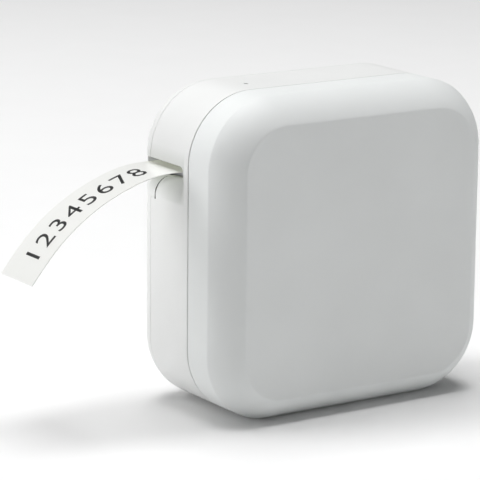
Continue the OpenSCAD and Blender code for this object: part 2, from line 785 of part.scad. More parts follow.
module cutter_frame() color("silver") difference() {
    union() {
        box(frame_x, [-29.6, -6], [86, 110.6]);
        box(frame_x, [-27.2, -6], [110, 114.5]);
        box(frame_x, [-6.1, 25], [86, 93]);
        box(frame_back_x, [-29.6, -16], [90, 110.6]);
        box(frame_back_x, [-27.2, -16], [110, 114.5]);
        box([frame_x[0], frame_back_x[1]], [-30.8, -29.3], [90, 106]);
        box([frame_x[0], -44], [-12, chassis_y], [84.6, 86]);
    }
    rod_x(cutter_pivot, pin_r, -60, -40);
    rod_x(cutter_gear_at, pin_r, -60, -40);
    rod_x(cutter_pinion_at, 2.6, frame_back_x[0] - 1, -40);
}

module cutter_motor() color("gray") difference() {
    union() {
        rod_x(cutter_pinion_at, 6, frame_back_x[1], -34);
        rod_x(cutter_pinion_at, 2.6, frame_back_x[0], frame_back_x[1] + 0.1);
    }
    rod_x(cutter_pinion_at, 0.8 + run_gap, -53, -41);
}

module cutter_pins() color("silver")
    for (at = [cutter_pivot, cutter_gear_at])
        rod_x(at, pin_r, frame_x[0], frame_back_x[at == cutter_pivot ? 0 : 1]);

cutter_gear_x = [-50.9, -49];

module cutter_pinion() color("goldenrod") {
    along_x(cutter_gear_x[0], cutter_gear_x[1]) translate(cutter_pinion_at)
        gear_outline(cutter_pinion_n, cutter_module, cutter_pinion_phase);
    rod_x(cutter_pinion_at, 0.8, cutter_gear_x[0], -42, 24);
}

module cutter_gear() color("ivory") difference() {
    along_x(cutter_gear_x[0], cutter_gear_x[1]) translate(cutter_gear_at)
        gear_outline(cutter_gear_n, cutter_module, cutter_gear_phase);
    rod_x(cutter_gear_at, pin_r + run_gap, -53, -45);
}

module fixed_blade() color("silver") {
    x0 = cut_x - blade_t/2 - blade_gap - blade_t;
    along_x(x0, x0 + blade_t) difference() {
        polygon([[-13, 86], [25, 86], [25, fixed_edge_z], [-5.5, fixed_edge_z], [-5.5, 101],
                 [-13, 101]]);
        translate(cutter_pivot) circle(pin_r, $fn = 48);
    }
}

module moving_blade() color("silver") {
    x0 = cut_x - blade_t/2;
    along_x(x0, x0 + blade_t) difference() {
        union() {
            translate(cutter_pivot) rotate(blade_open)
                polygon([[0, -1], [35, -1], [35, 1.5], [30, 5], [0, 5]]);
            translate(cutter_pivot) circle(5.4, $fn = 48);
            translate(cutter_pivot) intersection() {
                gear_outline(sector_n, cutter_module, sector_phase);
                polygon([[0, 0], 14*[cos(120), sin(120)], 16*[cos(148), sin(148)],
                         14*[cos(178), sin(178)]]);
            }
        }
        translate(cutter_pivot) circle(pin_r + run_gap, $fn = 48);
    }
}

// ---------------------------------------------------------------- cassette and tape

// Outline of the cassette with its print head window and lowered arm
module cassette_outline(inset) difference() {
    translate([(cas_x0 + cas_x1)/2, (cas_z0 + cas_z1)/2])
        rounded_rect([cas_x1 - cas_x0 - 2*inset, cas_z1 - cas_z0 - 2*inset], 5 - inset);
    translate([window_x0 - inset, window_z - inset])
        square([window_x1 - window_x0 + 2*inset, 30]);
    translate([cas_x0 - 1, arm_top - inset]) square([window_x1 - cas_x0 + 1 + inset, 30]);
}

module cassette_shell(y0, y1, floor_y) difference() {
    along_y(y0, y1) cassette_outline(0);
    along_y(floor_y[0], floor_y[1]) cassette_outline(cas_wall);
    // Way out for the tape, and the opening over the pinch roller
    box([window_x1 - 1, window_x1 + 3], [tape_y - tape_w/2 - 0.5, tape_y + tape_w/2 + 0.5],
        [tape_z - 1, tape_z + 1]);
    box([pinch_at[0] - 3, pinch_at[0] + 3], [tape_y - tape_w/2 - 0.5, tape_y + tape_w/2 + 0.5],
        [arm_top - 3, arm_top + 1]);
    rod_y(ribbon_at, shaft_r + 1.6, y0 - 1, y1 + 1);
}

cassette_pins = [tape_spool_at, film_spool_at, ribbon_supply_at];

module cassette_base() color("dimgray") difference() {
    union() {
        cassette_shell(cas_y0, cas_split, [cas_y0 + cas_wall, cas_split + 1]);
        for (at = cassette_pins) rod_y(at, 2.4, cas_y0 + cas_wall - 0.1, cas_split);
        rod_y(pinch_at, 1, cas_y0 + cas_wall - 0.1, cas_split, 32);
    }
    for (at = cassette_pins) rod_y(at, 1.5, cas_y0 - 1, cas_y0 + 4.2, 32);
}

module cassette_lid() color("gray") {
    difference() {
        cassette_shell(cas_split, cas_y1, [cas_split - 1, cas_y1 - cas_wall]);
        along_y(cas_y1 - 2, cas_y1 + 1) translate([tape_spool_at[0] + 6, tape_spool_at[1]])
            rounded_rect([8, 20], 2);
    }
    for (at = cassette_pins) rod_y(at, 2.4, cas_split, cas_y1 - cas_wall + 0.1);
    rod_y(pinch_at, 1, cas_split, cas_y1 - cas_wall + 0.1, 32);
}

module spool(at, core_r, flange_r, bore_r) difference() {
    union() {
        rod_y(at, core_r, spool_y0, spool_y1);
        rod_y(at, flange_r, spool_y0 - 0.6, spool_y0);
    }
    rod_y(at, bore_r, spool_y0 - 2, spool_y1 + 1);
}

module tape_spool() color("white") difference() {
    spool(tape_spool_at, 9, 12, 2.4 + run_gap);
    for (k = [0:5]) rod_y(polar(tape_spool_at, 5.8, 60*k), 1.8, spool_y0 - 1, spool_y1 + 1, 32);
}

module tape_roll() color("white") difference() {
    rod_y(tape_spool_at, tape_roll_r, spool_y0, spool_y1, 96);
    rod_y(tape_spool_at, 9, spool_y0 - 1, spool_y1 + 1);
}

module film_spool() color("lightgray") spool(film_spool_at, 8.6, 9.3, 2.4 + run_gap);
module ribbon_supply_spool() color("black") spool(ribbon_supply_at, 6.4, 6.9, 2.4 + run_gap);

module ribbon_takeup_spool() color("black") difference() {
    spool(ribbon_at, 4.6, 5.4, 2.5);
    for (k = [0:2]) translate([ribbon_at[0], 0, ribbon_at[1]]) rotate([0, 120*k, 0])
        box([1, rib_r + 0.4], [spool_y0 - 2, spool_y1 + 1], [-rib_w/2 - 0.3, rib_w/2 + 0.3]);
}

module pinch_roller() color("gray") difference() {
    rod_y(pinch_at, pinch_r, spool_y0 - 0.2, spool_y1 + 0.2);
    rod_y(pinch_at, 1 + run_gap, spool_y0 - 2, spool_y1 + 2);
}

module tape_section(x0, x1)
    box([x0, x1], [tape_y - tape_w/2, tape_y + tape_w/2], [tape_z - tape_t/2, tape_z + tape_t/2]);

module print_tape() color("white") tape_section(cut_x + blade_t/2 + 0.15, tape_spool_at[0]);

// Corner points of the label's path: position and heading after each short step
function label_path(at, heading, steps, i = 0) =
    i == len(steps) ? [[at, heading]]
    : let (mid = heading + steps[i][1]/2,
           next = at + steps[i][0]*[-cos(mid), -sin(mid)])
      concat([[at, heading]], label_path(next, heading + steps[i][1], steps, i + 1));

function tape_edge(p, side) = p[0] + side*tape_t/2*[-sin(p[1]), cos(p[1])];

module label_strip() color("white") {
    steps = [for (r = label_run, i = [1:label_steps]) r/label_steps];
    path = label_path(label_start, 0, steps);
    along_y(tape_y - tape_w/2, tape_y + tape_w/2)
        polygon(concat([for (p = path) tape_edge(p, 1)],
                       [for (i = [len(path) - 1:-1:0]) tape_edge(path[i], -1)]));
}

front_cover();
main_housing();
back_cover();
rubber_feet();
shell_screws();
status_led_lens();
charge_led_lens();
release_button();
power_button();
power_switch();
usb_port();
io_board();
main_pcb();
wireless_module();
pcb_screws();
battery_pack();
battery_lead();
chassis_plate();
cassette_bay();
print_head();
head_heatsink();
head_flex_cable();
drive_motor();
motor_bracket();
gear_pins();
motor_pinion();
idler_gear_1();
idler_gear_2();
ribbon_gear();
ribbon_drive_shaft();
roller_holder();
holder_pivot_pin();
holder_spring();
holder_idler_gear();
platen_shaft();
platen_roller();
platen_gear();
feed_shaft();
feed_roller();
feed_gear();
cutter_frame();
cutter_motor();
cutter_pins();
cutter_pinion();
cutter_gear();
fixed_blade();
moving_blade();
cassette_base();
cassette_lid();
tape_spool();
tape_roll();
film_spool();
ribbon_supply_spool();
ribbon_takeup_spool();
pinch_roller();
print_tape();
label_strip();
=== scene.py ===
"""Looks of the cube-shaped label maker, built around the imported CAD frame.

Lengths in this script are in millimetres until a mesh is made, and metres in Blender.
"""

import json
import math

import bmesh
import bpy
import numpy as np
from mathutils import Matrix, Vector, geometry


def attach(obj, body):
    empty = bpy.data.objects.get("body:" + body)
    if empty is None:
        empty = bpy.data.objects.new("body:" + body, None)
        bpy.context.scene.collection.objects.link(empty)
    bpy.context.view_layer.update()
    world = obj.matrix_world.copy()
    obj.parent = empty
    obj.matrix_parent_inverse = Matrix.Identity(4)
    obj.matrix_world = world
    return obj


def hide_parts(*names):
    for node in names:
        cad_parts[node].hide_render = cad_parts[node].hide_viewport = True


MM = 0.001
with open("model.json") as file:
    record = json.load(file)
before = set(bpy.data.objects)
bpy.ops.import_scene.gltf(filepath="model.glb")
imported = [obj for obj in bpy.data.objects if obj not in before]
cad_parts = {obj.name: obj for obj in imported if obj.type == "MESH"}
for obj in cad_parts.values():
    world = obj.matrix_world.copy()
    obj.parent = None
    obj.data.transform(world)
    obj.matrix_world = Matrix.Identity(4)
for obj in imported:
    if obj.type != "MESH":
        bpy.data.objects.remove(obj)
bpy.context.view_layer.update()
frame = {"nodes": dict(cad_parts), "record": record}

# ------------------------------------------------------------------ sizes

# The case, as in part.scad
WIDTH = 128.0
DEPTH = 67.0
MID_Z = WIDTH / 2
CORNER_R = 28.0
CORNER_C = WIDTH / 2 - CORNER_R
WALL = 2.2
SIDE_X = WIDTH / 2
BASE_Z = 0.3
FRONT_Y = -DEPTH / 2
BACK_Y = DEPTH / 2
SEAM_Y = -7.5
COVER_Y = 19.8
SEAM_GAP = 0.5  # joint between front cover and housing
PART_GAP = 0.16  # joint between housing and back cover
BAND_DEPTH = 11.8
BAND_R = 24.0
FACE_INSET = 10.0
COVER_DEPTH = 13.7
COVER_INSET = 20.0
CORNER_STEPS = 22
FOOT_Z = MID_Z - CORNER_C  # the straight part of each side runs from here
TOP_Z = MID_Z + CORNER_C  # to here

# Rounded edges of the shells
RIM_R = 0.3  # rims on the two sides of the front seam
PARTING_R = 0.1  # rims on the two sides of the back cover's parting line
RIM_FLAT = 0.9  # from a rim to where the plain wall starts
HOLE_ROUND = 0.2  # radius of the rim of each hole in the walls
CREASE_REACH = 0.4  # half the width of the rounding along the band's two creases
CREASE_FLAT = 1.2  # from the band's outer crease to where the plain wall ends

# Places of the controls, as (y, z) on the right side and (x, y) on the top
CONTROL_Y = -14.6
POWER_Z = 96.0
CHARGE_Z = 52.0
USB_Z = 34.0
RELEASE_PLACE = (10.0, 64.0)
STATUS_LED_PLACE = (-30.0, 4.2)

# Holes for them: a radius, or (width, height, corner radius)
POWER_HOLE_R = 4.7
LIGHT_HOLE_R = 1.0
USB_HOLE = (3.7, 8.4, 1.2)
RELEASE_HOLE = (7.5, 16.5, 2.25)

# Tape slot
SLOT_TOP = 99.5
SLOT_FRONT = -3.5
SLOT_BACK = 27.0
SLOT_DEEP_X = -54.0
LIP_CREST = 92.0
LIP_FRONT_CREST = 94.9
LIP_R = 7.0
LIP_FRONT_R = 0.8  # radius of the lip's rounding at the slot's front end
LEDGE = 1.0  # flat part of the lip behind its rounding
SCOOP_FOOT = 84.4
SCOOP_DEPTH = 2.0
SPLIT_Y = 16.4
SPLIT_GAP = 0.3  # width of the split in the lip at its crest
SPLIT_WIDER = 0.36  # how much each side of the split steps back at its foot
SPLIT_FOOT = 85.5
NOTCH_Z = 84.2
NOTCH_GAP = 0.06
MOUTH_ROUND = 0.45  # radius of the rounding along the rest of the slot's mouth
MOUTH_FRONT_R = 2.0  # corners of the mouth: front top, front foot, back top, back foot
MOUTH_FRONT_FOOT_R = 0.8
MOUTH_BACK_R = 1.5
MOUTH_BACK_FOOT_R = 1.2
LINER = 1.5  # thickness of the wall that lines the mouth
MOUTH_BOX_X = -SIDE_X + 11  # the CAD slot's own walls, which the mouth replaces, lie left of this,
MOUTH_BOX_Z = (82.0, 101.2)  # between these heights
MOUTH_BOX_END = 1.7  # and up to this far beyond the slot's two ends

# ------------------------------------------------------------------ camera and stage

CAMERA_LENS = 211.44
CAMERA_PLACE = (-0.62821, -0.89769, 0.31942)
CAMERA_FORWARD = (0.53673418, 0.81221441, -0.22852609)
CAMERA_RIGHT = (0.8354166, -0.5495441, 0.00896619)
LIGHT_TARGET = Vector((0, 0, 0.06))
FLOOR_HALF = 9000  # half the side of the floor


def look(location, forward, right):
    """Place and rotation of a camera, from its viewing direction and its right-hand side."""
    f = Vector(forward).normalized()
    r = Vector(right).normalized()
    u = r.cross(f)
    m = Matrix((r, u, -f)).transposed().to_4x4()
    m.translation = Vector(location)
    return m


def make_camera():
    data = bpy.data.cameras.new("camera")
    data.sensor_width = 36.0
    data.lens = CAMERA_LENS
    data.clip_start = 0.05
    data.clip_end = 50.0
    cam = bpy.data.objects.new("camera", data)
    bpy.context.scene.collection.objects.link(cam)
    cam.matrix_world = look(CAMERA_PLACE, CAMERA_FORWARD, CAMERA_RIGHT)
    bpy.context.scene.camera = cam


def area_light(name, location, size, power):
    """A square white light that is aimed at the object."""
    data = bpy.data.lights.new(name, "AREA")
    data.shape = "RECTANGLE"
    data.size = data.size_y = size
    data.energy = power
    lamp = bpy.data.objects.new(name, data)
    bpy.context.scene.collection.objects.link(lamp)
    lamp.location = location
    direction = LIGHT_TARGET - Vector(location)
    lamp.rotation_euler = direction.to_track_quat("-Z", "Y").to_euler()


def make_world(strength):
    world = bpy.data.worlds.new("studio")
    bpy.context.scene.world = world
    world.use_nodes = True
    back = world.node_tree.nodes["Background"]
    back.inputs["Color"].default_value = (1, 1, 1, 1)
    back.inputs["Strength"].default_value = strength


# ------------------------------------------------------------------ materials

# Places of the colour sockets among the sockets of a Mix node
MIX_A, MIX_B, MIX_RESULT = 6, 7, 2


class Nodes:
    """A material's node tree with short calls for the nodes that the finishes here need."""

    def __init__(self, name):
        self.material = bpy.data.materials.new(name)
        self.material.use_nodes = True
        self.tree = self.material.node_tree
        self.shader = self.tree.nodes["Principled BSDF"]
        self.place = self.tree.nodes.new("ShaderNodeTexCoord")

    def link(self, a, b):
        self.tree.links.new(a, b)

    def new(self, kind, **values):
        node = self.tree.nodes.new(kind)
        for key, value in values.items():
            setattr(node, key, value)
        return node

    def noise(self, scale, detail=3.0, stretch=(1, 1, 1)):
        mapping = self.new("ShaderNodeMapping")
        mapping.inputs["Scale"].default_value = stretch
        self.link(self.place.outputs["Object"], mapping.inputs["Vector"])
        noise = self.new("ShaderNodeTexNoise")
        noise.inputs["Scale"].default_value = scale
        noise.inputs["Detail"].default_value = detail
        noise.inputs["Roughness"].default_value = 0.5
        self.link(mapping.outputs["Vector"], noise.inputs["Vector"])
        return noise.outputs["Fac"]

    def ramp(self, value, low, high, start=0.3, end=0.7):
        ramp = self.new("ShaderNodeValToRGB")
        ramp.color_ramp.elements[0].position = start
        ramp.color_ramp.elements[1].position = end
        ramp.color_ramp.elements[0].color = (*low, 1)
        ramp.color_ramp.elements[1].color = (*high, 1)
        self.link(value, ramp.inputs["Fac"])
        return ramp.outputs["Color"]

    def span(self, value, low, high):
        span = self.new("ShaderNodeMapRange")
        span.inputs["To Min"].default_value = low
        span.inputs["To Max"].default_value = high
        self.link(value, span.inputs["Value"])
        return span.outputs["Result"]

    def mix(self, amount, a, b):
        """Colour a where amount is 0 and b where it is 1."""
        mix = self.new("ShaderNodeMix", data_type="RGBA")
        self.link(amount, mix.inputs["Factor"])
        self.link(a, mix.inputs[MIX_A])
        self.link(b, mix.inputs[MIX_B])
        return mix.outputs[MIX_RESULT]

    def colour(self, output):
        self.link(output, self.shader.inputs["Base Color"])

    def rough(self, output):
        self.link(output, self.shader.inputs["Roughness"])

    def bump(self, height, strength, distance):
        bump = self.new("ShaderNodeBump")
        bump.inputs["Strength"].default_value = strength
        bump.inputs["Distance"].default_value = distance
        self.link(height, bump.inputs["Height"])
        self.link(bump.outputs["Normal"], self.shader.inputs["Normal"])

    def set(self, **values):
        names = {
            "metallic": "Metallic",
            "coat": "Coat Weight",
            "coat_roughness": "Coat Roughness",
            "specular": "Specular IOR Level",
        }
        for key, value in values.items():
            self.shader.inputs[names[key]].default_value = value


def near(n, axis, middle, half, soft):
    """1 within half (mm) of middle along an axis of the piece, falling to 0 over soft."""
    split = n.new("ShaderNodeSeparateXYZ")
    n.link(n.place.outputs["Object"], split.inputs["Vector"])
    off = n.new("ShaderNodeMath", operation="SUBTRACT")
    n.link(split.outputs[axis], off.inputs[0])
    off.inputs[1].default_value = middle * MM
    size = n.new("ShaderNodeMath", operation="ABSOLUTE")
    n.link(off.outputs[0], size.inputs[0])
    fall = n.new("ShaderNodeMapRange")
    fall.inputs["From Min"].default_value = half * MM
    fall.inputs["From Max"].default_value = (half + soft) * MM
    fall.inputs["To Min"].default_value = 1.0
    fall.inputs["To Max"].default_value = 0.0
    n.link(size.outputs[0], fall.inputs["Value"])
    return fall.outputs["Result"]


def times(n, a, b):
    """Product of a socket and another socket or a number."""
    product = n.new("ShaderNodeMath", operation="MULTIPLY")
    n.link(a, product.inputs[0])
    if isinstance(b, float):
        product.inputs[1].default_value = b
    else:
        n.link(b, product.inputs[1])
    return product.outputs[0]


def region(n, **spans):
    """Mask of a box with soft sides. Each axis has (middle, half width, width of the fall) in mm."""
    mask = None
    for axis, span in spans.items():
        side = near(n, axis, *span)
        mask = times(n, mask, side) if mask else side
    return mask


def cloudy(n, low, high, scale=26.0):
    """A colour that drifts softly between two."""
    return n.ramp(n.noise(scale, 2.0), low, high)


def scaled(colour, k):
    return tuple(min(1.0, c * k) for c in colour)


def moulded_plastic(name, colour, rough=(0.34, 0.44), grain=1500.0, depth=0.00002, vary=0.02, **extra):
    """Moulded plastic: a faint unevenness of tone and a fine spark-eroded grain."""
    n = Nodes(name)
    n.colour(cloudy(n, scaled(colour, 1 - vary), scaled(colour, 1 + vary)))
    n.rough(n.span(n.noise(170.0, 3.0), *rough))
    n.bump(n.noise(grain, 2.0), 0.25, depth)
    n.set(**extra)
    return n.material


def shell_plastic(name, colour, rough):
    """Case plastic, with painted shade: the colour is darkened in the narrow joints, in the split of
    the lip and inside the slot's mouth, and a painted shadow of the label lies on the lip below the
    slot.
    """
    n = Nodes(name)
    plain = cloudy(n, scaled(colour, 0.98), scaled(colour, 1.02))
    # painted shade colours: the case's colour darkened, near black for the split, and a greenish grey
    # for the label's shadow
    shade = cloudy(n, scaled(colour, 0.16), scaled(colour, 0.18))
    painted_split_shade = cloudy(n, scaled(colour, 0.04), scaled(colour, 0.05))
    painted_shadow_tone = cloudy(n, (0.40, 0.43, 0.38), (0.41, 0.44, 0.39))

    # painted shade in the narrow joint at the seam, where the gap is
    seam = times(n, region(n, Y=(SEAM_Y, SEAM_GAP / 2 + 0.04, 0.08)), 0.12)
    colour_out = n.mix(seam, plain, shade)

    beside_slot = region(n, Y=(9.0, 13.0, 1.0))
    masks = (
        # painted shadow of the label: on the scoop below the slot's front end, and on the lip under
        # the label
        (region(n, Z=(89.6, 4.2, 1.2), Y=(2.0, 5.0, 7.0), X=(-61.0, 3.2, 0.5)), 0.16, painted_shadow_tone),
        (region(n, Z=(95.5, 1.0, 9.0), X=(-60.0, 4.5, 0.5)), 0.5, painted_shadow_tone),
        # painted shade: along the slot's upper rim, and in its deep front end
        (region(n, Z=(SLOT_TOP - 0.3, 0.45, 0.2), X=(-58.0, 5.85, 0.1)), 0.6, shade),
        (region(n, Z=(95.4, 1.3, 0.8), Y=(0.0, 5.0, 3.0), X=(SLOT_DEEP_X, 7.3, 0.9)), 0.85, shade),
    )
    for mask, amount, tone in masks:
        colour_out = n.mix(times(n, times(n, mask, beside_slot), amount), colour_out, tone)

    # painted shade, near black, in the split of the lip
    split = region(n, Y=(SPLIT_Y, SPLIT_WIDER, 0.12), Z=(87.8, 4.0, 0.3), X=(-59.0, 6.0, 0.5))
    n.colour(n.mix(split, colour_out, painted_split_shade))
    n.rough(n.span(n.noise(170.0, 3.0), *rough))
    n.bump(n.noise(1500.0, 2.0), 0.25, 0.00002)
    return n.material


def metal(name, colour, rough=(0.22, 0.38), stretch=(1, 1, 14), vary=0.10, streaks=420.0):
    """Rolled or turned metal with fine streaks and small stains."""
    n = Nodes(name)
    n.colour(n.ramp(n.noise(60.0, 4.0), scaled(colour, 1 - vary), scaled(colour, 1 + vary * 0.6)))
    streak = n.noise(streaks, 4.0, stretch)
    n.rough(n.span(streak, *rough))
    n.bump(streak, 0.12, 0.00003)
    n.set(metallic=1.0)
    return n.material


def rubber(name, colour):
    n = Nodes(name)
    n.colour(n.ramp(n.noise(90.0, 4.0), scaled(colour, 0.8), scaled(colour, 1.35)))
    n.rough(n.span(n.noise(240.0, 4.0), 0.62, 0.85))
    n.bump(n.noise(1300.0, 4.0), 0.3, 0.00006)
    return n.material


def board(name, colour):
    """Solder mask over copper tracks."""
    n = Nodes(name)
    voronoi = n.new("ShaderNodeTexVoronoi", distance="MANHATTAN")
    voronoi.inputs["Scale"].default_value = 320.0
    n.link(n.place.outputs["Object"], voronoi.inputs["Vector"])
    tracks = n.ramp(voronoi.outputs["Distance"], (0, 0, 0), (1, 1, 1), 0.30, 0.36)
    mask = n.ramp(n.noise(60.0), scaled(colour, 0.8), scaled(colour, 1.2))
    lit = n.ramp(n.noise(60.0), scaled(colour, 1.6), scaled(colour, 2.2))
    n.colour(n.mix(tracks, lit, mask))
    n.rough(n.span(n.noise(200.0), 0.22, 0.36))
    n.bump(voronoi.outputs["Distance"], 0.15, 0.00003)
    n.set(coat=0.3)
    return n.material


def wound(name, colour, rough=(0.4, 0.55)):
    """The side of a roll: rings of tape laid on each other."""
    n = Nodes(name)
    wave = n.new("ShaderNodeTexWave", wave_type="RINGS", rings_direction="Y")
    wave.inputs["Scale"].default_value = 420.0
    wave.inputs["Distortion"].default_value = 0.4
    n.link(n.place.outputs["Object"], wave.inputs["Vector"])
    n.colour(n.ramp(wave.outputs["Fac"], scaled(colour, 0.88), scaled(colour, 1.02), 0.1, 0.9))
    n.rough(n.span(n.noise(120.0), *rough))
    n.bump(wave.outputs["Fac"], 0.1, 0.00003)
    return n.material


def tape_face(name, colour):
    """Laminated tape: glossy film over a white base with a faint cloudiness. The part inside the slot
    gets painted shade, darker and tinted yellow-green, and a faint painted glow (emission) that keeps
    it from going dark."""
    n = Nodes(name)
    plain = cloudy(n, scaled(colour, 0.985), scaled(colour, 1.0), 35.0)
    painted_glow = cloudy(n, (0.81, 0.83, 0.70), (0.83, 0.85, 0.72), 35.0)
    painted_slot_shade = cloudy(n, (0.59, 0.61, 0.52), (0.61, 0.63, 0.54), 35.0)
    within = region(n, X=(SLOT_DEEP_X, 7.5, 4.5))
    # painted shade inside the slot: darker and tinted yellow-green
    n.colour(n.mix(within, plain, painted_slot_shade))
    # painted glow: a faint emission on the part inside the slot
    n.link(painted_glow, n.shader.inputs["Emission Color"])
    n.link(times(n, within, 0.30), n.shader.inputs["Emission Strength"])
    n.rough(n.span(n.noise(90.0, 2.0), 0.30, 0.40))
    n.bump(n.noise(260.0, 2.0), 0.06, 0.00003)
    n.set(coat=0.25, coat_roughness=0.18)
    return n.material


def make_materials():
    """One finish for each material slot of the record."""
    return {
        "shell_white": shell_plastic("shell_white", (0.855, 0.862, 0.855), (0.42, 0.52)),
        "front_white": shell_plastic("front_white", (0.833, 0.852, 0.847), (0.5, 0.6)),
        "button_grey": moulded_plastic("button_grey", (0.66, 0.67, 0.675), (0.3, 0.42)),
        "foot_rubber": rubber("foot_rubber", (0.09, 0.09, 0.09)),
        "roller_rubber": rubber("roller_rubber", (0.045, 0.045, 0.05)),
        "screw_steel": metal("screw_steel", (0.62, 0.63, 0.65)),
        "lens_smoke": moulded_plastic(
            "lens_smoke", (0.16, 0.165, 0.175), (0.1, 0.2), vary=0.05, coat=0.5
        ),
        "board_green": board("board_green", (0.012, 0.11, 0.045)),
        "shield_steel": metal("shield_steel", (0.74, 0.75, 0.77), (0.25, 0.4), (14, 1, 1)),
        "battery_wrap": moulded_plastic(
            "battery_wrap", (0.03, 0.07, 0.24), (0.2, 0.34), 500.0, 0.00006, 0.12, coat=0.3
        ),
        "wire_red": moulded_plastic(
            "wire_red", (0.45, 0.03, 0.025), (0.3, 0.45), 700.0, 0.00004, 0.08
        ),
        "chassis_steel": metal("chassis_steel", (0.62, 0.63, 0.65), (0.3, 0.48), (10, 1, 1)),
        "bay_plastic": moulded_plastic(
            "bay_plastic", (0.30, 0.31, 0.32), (0.42, 0.58), 900.0, 0.00004, 0.05
        ),
        "head_ceramic": moulded_plastic(
            "head_ceramic", (0.20, 0.19, 0.18), (0.12, 0.25), 400.0, 0.00002, 0.1, coat=0.4
        ),
        "heatsink_aluminium": metal("heatsink_aluminium", (0.74, 0.75, 0.76), (0.3, 0.45), (1, 12, 1)),
        "flex_film": moulded_plastic(
            "flex_film", (0.50, 0.20, 0.03), (0.15, 0.3), 300.0, 0.00004, 0.08, coat=0.3
        ),
        "motor_steel": metal("motor_steel", (0.56, 0.57, 0.59), (0.25, 0.42), (1, 12, 1)),
        "gear_white": moulded_plastic(
            "gear_white", (0.78, 0.75, 0.67), (0.3, 0.45), 700.0, 0.00003, 0.03
        ),
        "brass": metal("brass", (0.78, 0.56, 0.22), (0.2, 0.34), (1, 12, 1), 0.08, 300.0),
        "blade_steel": metal("blade_steel", (0.70, 0.71, 0.73), (0.14, 0.28), (1, 1, 20), 0.06),
        "spring_steel": metal("spring_steel", (0.42, 0.43, 0.45), (0.2, 0.32), (1, 1, 1)),
        "cassette_plastic": moulded_plastic(
            "cassette_plastic", (0.055, 0.055, 0.06), (0.4, 0.55), 800.0, 0.00005, 0.08
        ),
        "cassette_lid_plastic": moulded_plastic(
            "cassette_lid_plastic", (0.20, 0.205, 0.215), (0.38, 0.55), 800.0, 0.00005, 0.06
        ),
        "spool_white": moulded_plastic(
            "spool_white", (0.80, 0.80, 0.79), (0.35, 0.5), 800.0, 0.00003, 0.03
        ),
        "spool_black": wound("spool_black", (0.03, 0.03, 0.032), (0.25, 0.4)),
        "film_grey": wound("film_grey", (0.60, 0.62, 0.65), (0.2, 0.35)),
        "tape_white": wound("tape_white", (0.86, 0.86, 0.85)),
    }


# ------------------------------------------------------------------ mesh helpers

MERGE = 0.002  # points of a shape that are closer than this become one


class Shape:
    """Points in millimetres, and faces between them."""

    def __init__(self):
        self.points = []
        self.faces = []

    def add(self, points):
        start = len(self.points)
        self.points.extend(tuple(p) for p in points)
        return list(range(start, start + len(points)))

    def face(self, *ids):
        self.faces.append(ids)

    def grid(self, rows, closed=False, flip=False):
        """Quads between rows of points, each row of equal length."""
        ids = [self.add(r) for r in rows]
        n = len(rows[0])
        for a, b in zip(ids, ids[1:]):
            for k in range(n if closed else n - 1):
                quad = (a[k], a[(k + 1) % n], b[(k + 1) % n], b[k])
                self.faces.append(quad[::-1] if flip else quad)
        return ids

    def polygon(self, points, flip=False):
        ids = self.add(points)
        self.faces.append(tuple(ids[::-1] if flip else ids))

    def to_object(self, name, material, sharp=32.0):
        mesh = bpy.data.meshes.new(name)
        mesh.from_pydata([Vector(p) * MM for p in self.points], [], self.faces)
        bm = bmesh.new()
        bm.from_mesh(mesh)
        bmesh.ops.remove_doubles(bm, verts=bm.verts, dist=MERGE * MM)
        bmesh.ops.dissolve_degenerate(bm, edges=bm.edges, dist=1e-7)
        bm.to_mesh(mesh)
        bm.free()
        return finished(name, mesh, material, sharp)


def finished(name, mesh, material, sharp=32.0):
    """A piece in the scene from a mesh, smooth up to an angle in degrees."""
    mesh.polygons.foreach_set("use_smooth", [True] * len(mesh.polygons))
    mesh.set_sharp_from_angle(angle=math.radians(sharp))
    mesh.materials.clear()
    mesh.materials.append(material)
    piece = bpy.data.objects.new(name, mesh)
    bpy.context.scene.collection.objects.link(piece)
    return piece


def arc(centre, radius, start, end, steps):
    """Points of an arc in a plane, with the angles in degrees."""
    return [
        (
            centre[0] + radius * math.cos(math.radians(start + (end - start) * i / steps)),
            centre[1] + radius * math.sin(math.radians(start + (end - start) * i / steps)),
        )
        for i in range(steps + 1)
    ]


def rounded_corner(before, corner, after, reach, steps=5):
    """Points of a smooth curve that replaces a corner, starting reach away from it on both sides."""
    a, c, b = Vector(before), Vector(corner), Vector(after)
    start = c + (a - c).normalized() * min(reach, (a - c).length * 0.9)
    end = c + (b - c).normalized() * min(reach, (b - c).length * 0.9)
    out = []
    for i in range(steps + 1):
        t = i / steps
        out.append(tuple(start * (1 - t) ** 2 + c * 2 * t * (1 - t) + end * t * t))
    return out


def rounded_rect(centre, width, height, r, steps, grow=0.0):
    """Outline of a rounded rectangle, moved outwards by grow, from the foot of its right side."""
    pts = []
    for su, sv, a in ((1, -1, -90), (1, 1, 0), (-1, 1, 90), (-1, -1, 180)):
        c = (centre[0] + su * (width / 2 - r), centre[1] + sv * (height / 2 - r))
        pts += arc(c, r + grow, a, a + 90, steps)
    return pts


# Indices of the steps of a ring that run along the straight sides
RIGHT_SIDE = CORNER_STEPS
TOP_SIDE = 2 * (CORNER_STEPS + 1) - 1
LEFT_SIDE = 3 * (CORNER_STEPS + 1) - 1


def ring(inset, y):
    """The case's outline at depth y, moved inwards by inset, with its foot cut level."""
    outline = rounded_rect((0.0, MID_Z), WIDTH, WIDTH, CORNER_R, CORNER_STEPS, -inset)
    return [(x, y, max(z, BASE_Z)) for x, z in outline]


